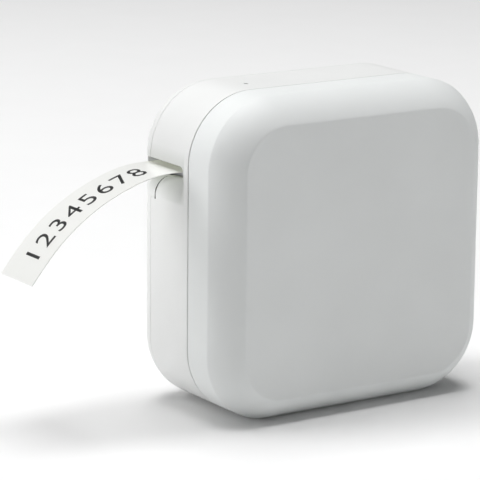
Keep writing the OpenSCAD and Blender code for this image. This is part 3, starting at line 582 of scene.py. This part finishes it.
def loft(shape, profile, skip=lambda side, y0, y1: False):
    """Skin through a profile of (inset, y). skip(side, y0, y1) says where it stays open."""
    ids = [shape.add(ring(inset, y)) for inset, y in profile]
    for j, (a, b) in enumerate(zip(ids, ids[1:])):
        n = len(a)
        for k in range(n):
            if skip(k, profile[j][1], profile[j + 1][1]):
                continue
            shape.face(a[k], a[(k + 1) % n], b[(k + 1) % n], b[k])
    return ids


# ------------------------------------------------------------------ profiles of the shells


def band_circle():
    """Centre, start and end of the front band's arc. u runs outwards and w forwards, from the
    middle of a corner's rounding."""
    start = Vector((CORNER_R, DEPTH / 2 - BAND_DEPTH))
    end = Vector((CORNER_R - FACE_INSET, DEPTH / 2))
    chord = (end - start).length
    along = (end - start) / chord
    rise = math.sqrt(BAND_R**2 - chord**2 / 4)
    return (start + end) / 2 - rise * Vector((along.y, -along.x)), start, end


def band_profile(steps=14):
    """The front cover's convex band as (inset, y), from the side wall to the flat face."""
    centre, start, end = band_circle()
    a0 = math.degrees(math.atan2(*(start - centre).yx))
    a1 = math.degrees(math.atan2(*(end - centre).yx))
    return [(CORNER_R - u, -w) for u, w in arc(centre, BAND_R, a0, a1, steps)]


def cover_inset(y):
    """How far the back cover's surface lies inside the outline at depth y."""
    if y <= COVER_Y:
        return 0.0
    s = min(1.0, (y - COVER_Y) / COVER_DEPTH)
    return COVER_INSET * (1 - math.sqrt(1 - s * s))


def edge_round(inset_from, y, r, way, steps=4):
    """A small quarter round at a shell's rim, from its edge face out to its wall. way is the side
    of y on which the wall lies."""
    pts = [(inset_from, y)]
    for i in range(steps + 1):
        a = math.radians(90 * i / steps)
        pts.append((r * (1 - math.sin(a)), y + way * r * (1 - math.cos(a))))
    return pts


# ------------------------------------------------------------------ tape slot


def lip_blend(y):
    """How far the scooped lip has opened at depth y: 0 at the slot's front end, 1 at the split."""
    t = min(1.0, max(0.0, (y - SLOT_FRONT) / (SPLIT_Y - SLOT_FRONT)))
    return t**2.2


def lip_at(y):
    """(height of the lip's crest, radius of its rounding) at depth y."""
    s = lip_blend(y)
    crest = LIP_FRONT_CREST + (LIP_CREST - LIP_FRONT_CREST) * s
    return crest, LIP_FRONT_R + (LIP_R - LIP_FRONT_R) * s - cover_inset(y)


def mouth_corner(centre, radius, start, turn, steps, end_r=MOUTH_ROUND):
    """Stations round a corner of the mouth, past its start. The rounding grows to end_r."""
    out = []
    for i in range(1, steps + 1):
        a = math.radians(start + turn * i / steps)
        n = (-math.cos(a), -math.sin(a))
        r = MOUTH_ROUND + (end_r - MOUTH_ROUND) * i / steps
        out.append((centre[0] - n[0] * (radius + r), centre[1] - n[1] * (radius + r), *n, r))
    return out


def mouth_lip(y_from, y_to, count):
    """Stations along the lip, past y_from."""
    out = []
    for y in np.linspace(y_from, y_to, count)[1:]:
        crest, r = lip_at(y)
        out.append((y, crest - r, 0, 1, r))
    return out


def mouth_front(end_y, split_y):
    """Contour of the slot's mouth in the housing, as (y, z, inward y, inward z, radius)."""
    r, foot_r = MOUTH_FRONT_R, MOUTH_FRONT_FOOT_R
    crest, lip_r = lip_at(SLOT_FRONT)
    top_z = SLOT_TOP + MOUTH_ROUND
    out = [(y, top_z, 0, -1, MOUTH_ROUND) for y in np.linspace(end_y, SLOT_FRONT + r, 8)]
    out += mouth_corner((SLOT_FRONT + r, SLOT_TOP - r), r, 90, 90, 8)
    for z in np.linspace(SLOT_TOP - r, crest + 0.9, 4)[1:]:
        out.append((SLOT_FRONT - MOUTH_ROUND, z, 1, 0, MOUTH_ROUND))
    foot = (SLOT_FRONT + foot_r, crest + foot_r)
    out += mouth_corner(foot, foot_r, 180, 90, 6, lip_r)
    return out + mouth_lip(foot[0], split_y, 26)


def mouth_back(start_y, split_y):
    """Contour of the slot's mouth in the back cover, from its parting line round the back end."""
    r, foot_r = MOUTH_BACK_R, MOUTH_BACK_FOOT_R
    top_z = SLOT_TOP + MOUTH_ROUND
    foot = (SLOT_BACK - foot_r, LIP_CREST + foot_r)
    out = [(y, top_z, 0, -1, MOUTH_ROUND) for y in np.linspace(start_y, SLOT_BACK - r, 8)]
    out += mouth_corner((SLOT_BACK - r, SLOT_TOP - r), r, 90, -90, 6)
    for z in np.linspace(SLOT_TOP - r, foot[1], 4)[1:]:
        out.append((SLOT_BACK + MOUTH_ROUND, z, -1, 0, MOUTH_ROUND))
    out += mouth_corner(foot, foot_r, 0, -90, 6, lip_at(foot[0])[1])
    return out + mouth_lip(foot[0], split_y, 24)


def eased(t):
    """Smooth step from 0 to 1."""
    t = min(1.0, max(0.0, t))
    return t * t * (3 - 2 * t)


def scoop(y, z):
    """Depth of the shallow scoop in the wall below the slot's front end."""
    if z > LIP_FRONT_CREST + 0.5:
        return 0.0
    height = max(0.0, (z - SCOOP_FOOT) / (LIP_FRONT_CREST - SCOOP_FOOT))
    rise = math.hypot(height, 0.08) - 0.08
    ends = eased((y - SLOT_FRONT + 0.4) / 1.8) * eased((SPLIT_Y - 1.0 - y) / 12.0)
    return SCOOP_DEPTH * rise * ends


def mouth_section(y, z, ny, nz, r, steps=8):
    """Points from the wall over the mouth's rounding, into the slot and back behind its liner."""
    x0 = -SIDE_X + cover_inset(y) + scoop(y, z)
    deep_x = min(SLOT_DEEP_X, x0 + r + LEDGE) if nz > 0.5 else SLOT_DEEP_X
    pts = []
    for i in range(steps + 1):
        a = math.radians(90 * i / steps)
        reach = r * math.sin(a)
        pts.append((x0 + r * (1 - math.cos(a)), y + ny * reach, z + nz * reach))
    pts.append((deep_x, y + ny * r, z + nz * r))
    deep = r - LINER
    pts.append((deep_x, y + ny * deep, z + nz * deep))
    inner_r = max(deep, 0.7)
    centre_x = x0 + max(r, WALL)
    for i in range(steps + 1):
        a = math.radians(90 - 90 * i / steps)
        reach = deep - inner_r * (1 - math.sin(a))
        pts.append((centre_x - inner_r * math.cos(a), y + ny * reach, z + nz * reach))
    return pts


def left_wall(y, z, depth=0.0):
    return (-SIDE_X + cover_inset(y) + depth, y, z)


def scooped_wall(y, z, depth=0.0):
    return (-SIDE_X + scoop(y, z) + depth, y, z)


def right_wall(y, z, depth=0.0):
    rise = max(0.0, z - MID_Z - CORNER_C)
    drop = CORNER_R - math.sqrt(CORNER_R**2 - rise**2)
    return (SIDE_X - drop - depth, y, z)


def top_wall(x, y, depth=0.0):
    return (x, y, WIDTH - depth)


def beside_mouth(c, y_from=-math.inf, y_to=math.inf):
    """Whether a point belongs to the CAD slot's own walls."""
    return c.x < MOUTH_BOX_X and MOUTH_BOX_Z[0] < c.z < MOUTH_BOX_Z[1] and y_from < c.y < y_to


def closed(start, count):
    """Edges of a closed loop of points, as pairs of indices."""
    return [(start + i, start + (i + 1) % count) for i in range(count)]


SUPPORT_REACH = 0.4  # how far a support point lies from the outline
SUPPORT_SPACING = 2.5
EDGE_CLEAR = 0.3  # inner points of a wall stay this far from its outline
POINT_CLEAR = 0.25  # and this far from each other


def supports(loop):
    """Points on both sides of an outline. Those inside it keep the wall beside a rounded edge
    evenly lit."""
    pts = []
    for p, q in zip(loop, loop[1:] + loop[:1]):
        p, q = Vector(p), Vector(q)
        side = (q - p).length
        if side < 1e-6:
            continue
        along = (q - p) / side
        across = Vector((-along.y, along.x)) * SUPPORT_REACH
        count = max(1, round(side / SUPPORT_SPACING))
        for k in range(count):
            middle = p + along * (k + 0.5) * side / count
            pts += [middle + across, middle - across]
    return pts


def fill_wall(shape, place, loop, extra=(), holes=(), flip=False):
    """Fills an outline of (u, v) on the wall that place(u, v, depth) describes. extra points follow
    the wall's curve. Each hole is a function from an offset to its outline, and gets a rounded rim."""
    pts = [Vector(p) for p in loop]
    edges = closed(0, len(pts))
    rims = [hole(HOLE_ROUND) for hole in holes]
    for rim in rims:
        edges += closed(len(pts), len(rim))
        pts += [Vector(p) for p in rim]
    for p in [Vector(p) for p in extra] + supports(loop):
        if inside(p, loop) and gap_to(p, loop) > EDGE_CLEAR:
            if all((p - q).length > POINT_CLEAR for q in pts):
                pts.append(p)
    made = geometry.delaunay_2d_cdt(pts, edges, [], 1, 1e-6)
    verts, faces = made[0], made[2]
    ids = shape.add([place(v.x, v.y) for v in verts])
    for f in faces:
        middle = sum((verts[i] for i in f), Vector((0, 0))) / len(f)
        if not any(inside(middle, rim) for rim in rims):
            shape.face(*[ids[i] for i in (f[::-1] if flip else f)])
    h = HOLE_ROUND
    rim_profile = ((h, 0), (0.5 * h, 0.13 * h), (0.13 * h, 0.5 * h), (0, h), (0, WALL))
    for hole in holes:
        rows = [[place(u, v, depth) for u, v in hole(grow)] for grow, depth in rim_profile]
        shape.grid(rows, closed=True, flip=not flip)


def edge_strip(shape, place, points, flip=False):
    """The wall's edge face along a row of (u, v) points."""
    shape.grid([[place(u, v, depth) for u, v in points] for depth in (0.0, WALL)], flip=flip)


def left_rim(shape, points, high):
    """The parting rim on the left side up to a height, through points of (inset, y)."""
    for (ia, ya), (ib, yb) in zip(points, points[1:]):
        corners = ((ia, ya, high), (ia, ya, FOOT_Z), (ib, yb, FOOT_Z), (ib, yb, high))
        shape.polygon([(-SIDE_X + inset, y, z) for inset, y, z in corners])


def round_hole(place, r):
    return lambda grow: arc(place, r + grow, 0, 360 * 31 / 32, 31)


def slot_hole(place, width, height, r):
    return lambda grow: rounded_rect(place, width, height, r, 7, grow)


def split_step(z):
    """How far each side of the split in the lip steps back at height z."""
    t = min(1.0, max(0.0, (z - SPLIT_FOOT) / (LIP_CREST - SPLIT_FOOT)))
    return SPLIT_WIDER * (1 - t) ** 1.5


def stepped(section, way):
    """The last section of a lip, moved back from the split."""
    return [(x, y + way * split_step(z), z) for x, y, z in section]


def inside(p, loop):
    """Whether a point lies inside an outline."""
    hit = False
    for (ay, az), (by, bz) in zip(loop, loop[1:] + loop[:1]):
        if (az > p.y) != (bz > p.y) and p.x < (by - ay) * (p.y - az) / (bz - az) + ay:
            hit = not hit
    return hit


def gap_to(p, loop):
    """Distance from a point to an outline."""
    best = math.inf
    for a, b in zip(loop, loop[1:] + loop[:1]):
        q, t = geometry.intersect_point_line(p.to_3d(), Vector((*a, 0)), Vector((*b, 0)))
        t = min(1.0, max(0.0, t))
        best = min(best, (Vector(a) * (1 - t) + Vector(b) * t - p).length)
    return best


# ------------------------------------------------------------------ shells


def depth_under_skin(x, y, z, front, back):
    """How far a point lies under the outer surface of the shells. front and back say whether the
    shell has the front band or the back bulge."""
    qx, qz = abs(x) - CORNER_C, abs(z - MID_Z) - CORNER_C
    if qx > 0 and qz > 0:
        inset = CORNER_R - math.hypot(qx, qz)
    else:
        inset = CORNER_R - max(qx, qz)
    depth = min(inset, max(z - BASE_Z, 0.0)) if abs(x) < CORNER_C and z < 4 else inset
    if front and y < FRONT_Y + BAND_DEPTH:
        u, w = CORNER_R - inset, -y
        centre = band_circle()[0]
        if u > CORNER_R - FACE_INSET - 2:
            depth = min(depth, BAND_R - math.hypot(u - centre.x, w - centre.y))
        depth = min(depth, y - FRONT_Y)
    if back and y > COVER_Y:
        u = CORNER_R - inset - (CORNER_R - COVER_INSET)
        w = y - COVER_Y
        if u > 0:
            # the ellipse through the point, among those inside the outer one, by halving
            low, high = 0.0, 6.0
            for _ in range(24):
                mid = (low + high) / 2
                e = (u / (COVER_INSET - mid)) ** 2 + (w / (COVER_DEPTH - mid)) ** 2
                low, high = (mid, high) if e < 1 else (low, mid)
            depth = min(depth, low)
        depth = min(depth, BACK_Y - y)
    return depth


def inner_faces(node, front=False, back=False, drop=None):
    """Copy of a CAD shell without its skin: only what lies behind the wall's inner surface.
    drop says which faces, by their middle, go as well."""
    bm = bmesh.new()
    bm.from_mesh(frame["nodes"][node].data)
    gone = []
    for f in bm.faces:
        deep = [depth_under_skin(*(v.co / MM), front, back) for v in f.verts]
        # edge faces across the wall, and the skin itself, with some slack for the facets
        in_wall = max(deep) < WALL + 0.15 and min(deep) < WALL - 0.3
        on_skin = min(deep) < 0.25
        if in_wall or on_skin or (drop and drop(f.calc_center_median() / MM)):
            gone.append(f)
    bmesh.ops.delete(bm, geom=gone, context="FACES")
    return bm


def joined(name, skin, bm, material, sharp=32.0):
    """One piece from a skin and the inner faces of the CAD shell that it replaces."""
    bm.from_mesh(skin.data)
    mesh = bpy.data.meshes.new(name)
    bm.to_mesh(mesh)
    bm.free()
    bpy.data.objects.remove(skin)
    return finished(name, mesh, material, sharp)


def front_skin():
    shape = Shape()
    rear = SEAM_Y - SEAM_GAP / 2
    band = band_profile()
    wall_from, wall_to = rear - RIM_FLAT, band[0][1] + CREASE_FLAT
    face = (FACE_INSET + 2.0, FRONT_Y)
    profile = edge_round(WALL, rear, RIM_R, -1) + [(0.0, wall_from), (0.0, wall_to)]
    profile += rounded_corner((0.0, rear - RIM_R), band[0], band[1], CREASE_REACH, 4)
    profile += band[1:-1]
    profile += rounded_corner(band[-2], band[-1], face, CREASE_REACH, 4)
    profile += [(FACE_INSET + 0.7, FRONT_Y), (FACE_INSET + 1.6, FRONT_Y)]

    def open_side(k, a, b):
        return k in (RIGHT_SIDE, RIGHT_SIDE + 1) and (a, b) == (wall_from, wall_to)

    ids = loft(shape, profile, open_side)
    shape.face(*ids[-1])
    # The wall with the holes, with one step of the corner above it
    above = TOP_Z + CORNER_R * math.sin(math.radians(90 / CORNER_STEPS))
    loop = [(wall_to, FOOT_Z), (wall_from, FOOT_Z), (wall_from, TOP_Z)]
    loop += [(wall_from, above), (wall_to, above), (wall_to, TOP_Z)]
    holes = [
        round_hole((CONTROL_Y, POWER_Z), POWER_HOLE_R),
        round_hole((CONTROL_Y, CHARGE_Z), LIGHT_HOLE_R),
        slot_hole((CONTROL_Y, USB_Z), *USB_HOLE),
    ]
    extra = [(wall_from + (wall_to - wall_from) * k / 4, TOP_Z) for k in (1, 3)]
    fill_wall(shape, right_wall, loop, extra, holes)
    return shape


def make_front_cover(mats):
    skin = front_skin().to_object("front_skin", mats["front_white"])
    inner = inner_faces("front_cover", front=True)
    return joined("front_shell", skin, inner, mats["front_white"])


def make_housing(mats):
    shape = Shape()
    y0, y1 = SEAM_Y + SEAM_GAP / 2, COVER_Y - PART_GAP / 2
    tail = edge_round(WALL, y1, PARTING_R, -1)[::-1]
    rim_end = tail[0][1]
    open_from, open_to = y0 + RIM_FLAT, y1 - RIM_FLAT
    profile = edge_round(WALL, y0, RIM_R, 1) + [(0.0, open_from), (0.0, open_to)] + tail

    def open_side(k, a, b):
        long_step = (a, b) == (open_from, open_to)
        on_left = k == LEFT_SIDE and b > open_from + 0.01
        return on_left or (k in (RIGHT_SIDE, TOP_SIDE) and long_step)

    loft(shape, profile, open_side)

    # The left side, with the slot's mouth and the notch for the back cover's lip
    notch_floor = NOTCH_Z - NOTCH_GAP / 2
    left_rim(shape, tail, notch_floor)
    mouth = mouth_front(y1, SPLIT_Y - SPLIT_GAP / 2)
    sections = [mouth_section(*m) for m in mouth]
    sections[-1] = stepped(sections[-1], -1)
    shape.grid(sections)
    wide = SPLIT_GAP / 2 + SPLIT_WIDER
    notch = [(SPLIT_Y - wide, mouth[-1][1])] + arc((SPLIT_Y, NOTCH_Z), wide, 180, 360, 12)[:-1]
    notch += [(SPLIT_Y + wide, notch_floor), (rim_end, notch_floor)]
    loop = [(open_from, FOOT_Z), (open_from, TOP_Z), (open_to, TOP_Z), (y1, TOP_Z)]
    loop += [(m[0], m[1]) for m in mouth[:-1]] + notch + [(rim_end, FOOT_Z), (open_to, FOOT_Z)]
    scoop_ys = np.arange(SLOT_FRONT - 0.2, SPLIT_Y, 0.9)
    scoop_zs = np.arange(SCOOP_FOOT - 1, LIP_FRONT_CREST + 0.1, 0.8)
    fill_wall(shape, scooped_wall, loop, [(y, z) for y in scoop_ys for z in scoop_zs])
    edge_strip(shape, left_wall, notch)
    edge_strip(shape, left_wall, [(y1, TOP_Z), (y1, mouth[0][1])])
    shape.polygon(sections[-1], flip=True)

    right = [(open_from, FOOT_Z), (open_to, FOOT_Z), (open_to, TOP_Z), (open_from, TOP_Z)]
    fill_wall(shape, right_wall, right, holes=[slot_hole(RELEASE_PLACE, *RELEASE_HOLE)])
    c = CORNER_C
    roof = [(-c, open_from), (c, open_from), (c, open_to), (-c, open_to)]
    fill_wall(shape, top_wall, roof, holes=[round_hole(STATUS_LED_PLACE, LIGHT_HOLE_R)])

    skin = shape.to_object("housing_skin", mats["shell_white"])
    first = SLOT_FRONT - MOUTH_BOX_END
    inner = inner_faces("main_housing", drop=lambda c: beside_mouth(c, y_from=first))
    return joined("housing_shell", skin, inner, mats["shell_white"])


def make_back_cover(mats):
    shape = Shape()
    y0 = COVER_Y + PART_GAP / 2
    steps = 30
    last = 14  # the step of the bulge that ends the left side's patch, behind the slot
    head = edge_round(WALL, y0, PARTING_R, 1)
    start = math.asin((y0 + RIM_FLAT - COVER_Y) / COVER_DEPTH)
    bulge = []
    for i in range(steps + 1):
        y = COVER_Y + COVER_DEPTH * math.sin(start + (math.pi / 2 - start) * i / steps)
        bulge.append((cover_inset(y), min(y, BACK_Y)))
    patch_end = bulge[last][1]
    rim_end = head[-1][1]
    ids = loft(shape, head + bulge, lambda k, a, b: k == LEFT_SIDE and b <= patch_end + 0.01)
    shape.face(*ids[-1])

    # The left side, with the slot's mouth and the lip's tab that reaches into the housing's notch
    tab_foot = NOTCH_Z + NOTCH_GAP / 2
    left_rim(shape, head, tab_foot)
    mouth = mouth_back(y0, SPLIT_Y + SPLIT_GAP / 2)
    sections = [mouth_section(*m) for m in mouth]
    sections[-1] = stepped(sections[-1], 1)
    shape.grid(sections, flip=True)
    stations = [y for _, y in bulge[: last + 1]]
    wide = SPLIT_GAP / 2 + SPLIT_WIDER
    tab = [(SPLIT_Y + wide, mouth[-1][1]), (SPLIT_Y + wide, tab_foot), (rim_end, tab_foot)]
    loop = [(y, FOOT_Z) for y in [rim_end] + stations]
    loop += [(patch_end, z) for z in range(40, 100, 12)]
    loop += [(y, TOP_Z) for y in stations[::-1]] + [(y0, TOP_Z)]
    loop += [(m[0], m[1]) for m in mouth[:-1]] + tab
    extra = [(y, FOOT_Z + 4 * k) for y in stations[:-1] for k in range(1, 18)]
    fill_wall(shape, left_wall, loop, extra, flip=True)
    edge_strip(shape, left_wall, tab)
    edge_strip(shape, left_wall, [(y0, TOP_Z), (y0, mouth[0][1])])
    shape.polygon(sections[-1])

    skin = shape.to_object("back_skin", mats["shell_white"])
    end = SLOT_BACK + MOUTH_BOX_END
    inner = inner_faces("back_cover", back=True, drop=lambda c: beside_mouth(c, y_to=end))
    return joined("back_shell", skin, inner, mats["shell_white"])


# ------------------------------------------------------------------ label

# Stretches of the label from its inner end, as (length, downward turn in degrees)
LABEL_RUN = ((17.0, 0.0), (14.0, 17.5), (11.5, 5.5), (38.0, 27.0), (10.5, 1.0))
LABEL_START = (-50.5, 97.3)  # (x, z) of the inner end
TAPE_W = 24.0
TAPE_Y = 10.5
TAPE_T = 0.3
TAPE_EDGE = 0.05  # bevel along the tape's edges
DIGITS_LENGTH = 57.5
DIGITS_HEIGHT = 10.0
DIGITS_START = 80.5  # place of the first digit along the label, from its inner end
DIGITS_LOW = 0.4  # how far the row of digits lies off the tape's middle
DIGITS_LIFT = 0.025
DIGITS_T = 0.02
BEND_REACH = 9  # steps over which the bends are averaged, to each side


def label_path(step=0.5):
    """Points of the label's middle line: (x, z, heading in radians), evenly spaced, with the bends
    of the five stretches eased into each other."""
    total = sum(r[0] for r in LABEL_RUN)
    n = int(total / step)
    bend = []
    for i in range(n):
        s = (i + 0.5) * total / n
        for length, turn in LABEL_RUN:
            if s <= length:
                bend.append(math.radians(turn) / length)
                break
            s -= length
    padded = [bend[0]] * BEND_REACH + bend + [bend[-1]] * BEND_REACH
    window = 2 * BEND_REACH + 1
    smooth = [sum(padded[i : i + window]) / window for i in range(n)]
    x, z, heading = LABEL_START[0], LABEL_START[1], 0.0
    ds = total / n
    path = [(x, z, heading)]
    for k in smooth:
        mid = heading + k * ds / 2
        x -= ds * math.cos(mid)
        z -= ds * math.sin(mid)
        heading += k * ds
        path.append((x, z, heading))
    return path, ds


def on_label(path, ds, s, across, lift):
    """Point of the label at length s from its inner end, across from its middle, lift above it."""
    t = min(max(s / ds, 0.0), len(path) - 1.001)
    i = int(t)
    (xa, za, ha), (xb, zb, hb) = path[i], path[i + 1]
    f = t - i
    h = ha + (hb - ha) * f
    x = xa + (xb - xa) * f - math.sin(h) * lift
    z = za + (zb - za) * f + math.cos(h) * lift
    return (x, TAPE_Y + across, z)


def make_tape(path, ds):
    shape = Shape()
    half, t, e = TAPE_W / 2, TAPE_T / 2, TAPE_EDGE
    section = [(-half + e, t), (-half * 0.5, t), (0, t), (half * 0.5, t), (half - e, t)]
    section += [(half, t - e), (half, -t + e), (half - e, -t), (0, -t), (-half + e, -t)]
    section += [(-half, -t + e), (-half, t - e)]
    rows = [[on_label(path, ds, k * ds, a, b) for a, b in section] for k in range(len(path))]
    ids = shape.grid(rows, closed=True, flip=True)
    shape.face(*ids[0])
    shape.face(*ids[-1][::-1])
    return shape.to_object("label_tape", tape_face("label_face", (0.885, 0.89, 0.865)), 40.0)


def digits_mesh(text):
    """Flat mesh of a row of digits in the built-in font."""
    curve = bpy.data.curves.new("digits_curve", "FONT")
    curve.body = text
    curve.size = 1.0
    curve.space_character = 1.18
    curve.resolution_u = 6
    holder = bpy.data.objects.new("digits_curve", curve)
    bpy.context.scene.collection.objects.link(holder)
    bpy.context.view_layer.update()
    depsgraph = bpy.context.evaluated_depsgraph_get()
    mesh = bpy.data.meshes.new_from_object(holder.evaluated_get(depsgraph))
    bpy.data.objects.remove(holder)
    return mesh


def make_digits(path, ds):
    """The printed row: its shapes cut every millimetre, wrapped onto the label and thickened."""
    mesh = digits_mesh("12345678")
    bm = bmesh.new()
    bm.from_mesh(mesh)
    lo = Vector((min(v.co.x for v in bm.verts), min(v.co.y for v in bm.verts)))
    hi = Vector((max(v.co.x for v in bm.verts), max(v.co.y for v in bm.verts)))
    for v in bm.verts:
        v.co.x = (v.co.x - lo.x) / (hi.x - lo.x) * DIGITS_LENGTH
        v.co.y = (v.co.y - lo.y) / (hi.y - lo.y) * DIGITS_HEIGHT
    for k in range(1, int(DIGITS_LENGTH)):
        geom = bm.verts[:] + bm.edges[:] + bm.faces[:]
        bmesh.ops.bisect_plane(bm, geom=geom, dist=1e-4, plane_co=(k, 0, 0), plane_no=(1, 0, 0))
    bmesh.ops.remove_doubles(bm, verts=bm.verts, dist=0.01)
    bmesh.ops.dissolve_degenerate(bm, edges=bm.edges, dist=0.01)
    bmesh.ops.triangulate(bm, faces=bm.faces[:])
    slivers = [f for f in bm.faces if f.calc_area() < 1e-5]
    bmesh.ops.delete(bm, geom=slivers, context="FACES")
    lift = TAPE_T / 2 + DIGITS_LIFT
    for v in bm.verts:
        across = v.co.y - DIGITS_HEIGHT / 2 - DIGITS_LOW
        v.co = Vector(on_label(path, ds, DIGITS_START - v.co.x, across, lift)) * MM
    made = bmesh.ops.extrude_face_region(bm, geom=bm.faces[:])
    for g in made["geom"]:
        if isinstance(g, bmesh.types.BMVert):
            g.co.z -= DIGITS_T * MM
    bmesh.ops.recalc_face_normals(bm, faces=bm.faces)
    bm.to_mesh(mesh)
    bm.free()
    ink = moulded_plastic("print_ink", (0.035, 0.036, 0.036), (0.3, 0.45), 900.0, 0.00001, 0.1)
    return finished("label_digits", mesh, ink, 30.0)


def make_label():
    path, ds = label_path()
    return make_tape(path, ds), make_digits(path, ds)


# ------------------------------------------------------------------ controls

BUTTON_TOP = SIDE_X + 0.5
FLANGE_TOP = SIDE_X - WALL - 0.2  # a flange behind the wall keeps each button in its hole


def make_power_cap(mats):
    """Round power button with a shallow dish, as a turned profile of (radius, x)."""
    shape = Shape()
    foot, top = FLANGE_TOP - 1.4, BUTTON_TOP
    profile = [(0.4, foot), (5.4, foot), (5.4, FLANGE_TOP), (4.5, FLANGE_TOP)]
    profile += [(4.5, top - 0.35), (4.4, top - 0.12), (4.15, top), (3.6, top - 0.02)]
    profile += [(2.6, top - 0.18), (1.3, top - 0.3), (0.4, top - 0.33)]
    angles = np.linspace(0, 2 * math.pi, 65)[:-1]
    rows = [
        [(x, CONTROL_Y + r * math.cos(a), POWER_Z + r * math.sin(a)) for a in angles]
        for r, x in profile
    ]
    ids = shape.grid(rows, closed=True)
    shape.face(*ids[0][::-1])
    shape.face(*ids[-1])
    return shape.to_object("power_cap", mats["button_grey"], 35.0)


def make_release_cap(mats):
    """Release button with five ribs across it."""
    shape = Shape()
    (cy, cz), w, h = RELEASE_PLACE, 7.0, 16.0

    def step(grow, r, x):
        return [(x, y, z) for y, z in rounded_rect((cy, cz), w + grow, h + grow, r, 8)]

    rows = [
        step(2.4, 2.0, FLANGE_TOP - 1.9),
        step(2.4, 2.0, FLANGE_TOP),
        step(0.0, 2.0, FLANGE_TOP),
        step(0.0, 2.0, BUTTON_TOP - 0.4),
        step(-0.25, 1.9, BUTTON_TOP - 0.1),
        step(-0.8, 1.65, BUTTON_TOP),
    ]
    ids = shape.grid(rows, closed=True)
    shape.face(*ids[0][::-1])
    shape.face(*ids[-1])
    rib = arc((0.0, 0.0), 0.32, 0, 180, 8)
    rib_sizes = ((-2.1, 0.05), (-2.0, 0.7), (-1.8, 1.0), (1.8, 1.0), (2.0, 0.7), (2.1, 0.05))
    for k in range(-2, 3):
        z = cz + 2.0 * k
        rows = [
            [(BUTTON_TOP - 0.02 + max(b, 0) * size, cy + dy, z + a * size) for a, b in rib]
            for dy, size in rib_sizes
        ]
        shape.grid(rows)
    return shape.to_object("release_cap", mats["button_grey"], 35.0)


# ------------------------------------------------------------------ build

make_camera()
bpy.context.scene.view_settings.view_transform = "Standard"
make_world(0.01)
area_light("top", (0, 0.2, 2.4), 1.6, 57.5)
area_light("left", (-2.0, 1.4, 0.5), 1.2, 18.8)
area_light("left_high", (-1.3, 0.9, 1.5), 1.2, 8.0)
area_light("front", (1.6, -2.0, 0.25), 1.2, 13.0)

floor_shape = Shape()
floor_corners = ((-1, -1), (1, -1), (1, 1), (-1, 1))
floor_shape.polygon([(sx * FLOOR_HALF, sy * FLOOR_HALF, 0) for sx, sy in floor_corners])
floor_paper = moulded_plastic(
    "floor_paper", (0.93, 0.93, 0.93), (0.75, 0.9), 400.0, 0.00002, 0.004, specular=0.1
)
floor = floor_shape.to_object("floor", floor_paper)

materials = make_materials()
for item in frame["record"]["subparts"]:
    for slot in frame["nodes"][item["node"]].material_slots:
        slot.material = materials[item["material_slot"]]

front = make_front_cover(materials)
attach(front, "housing")
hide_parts("front_cover")

housing = make_housing(materials)
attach(housing, "housing")
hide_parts("main_housing")

back = make_back_cover(materials)
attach(back, "cover")
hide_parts("back_cover")

label, digits = make_label()
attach(label, "label")
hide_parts("label_strip")
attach(digits, "label")

power_cap, release_cap = make_power_cap(materials), make_release_cap(materials)
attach(power_cap, "power")
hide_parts("power_button")
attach(release_cap, "release")
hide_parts("release_button")
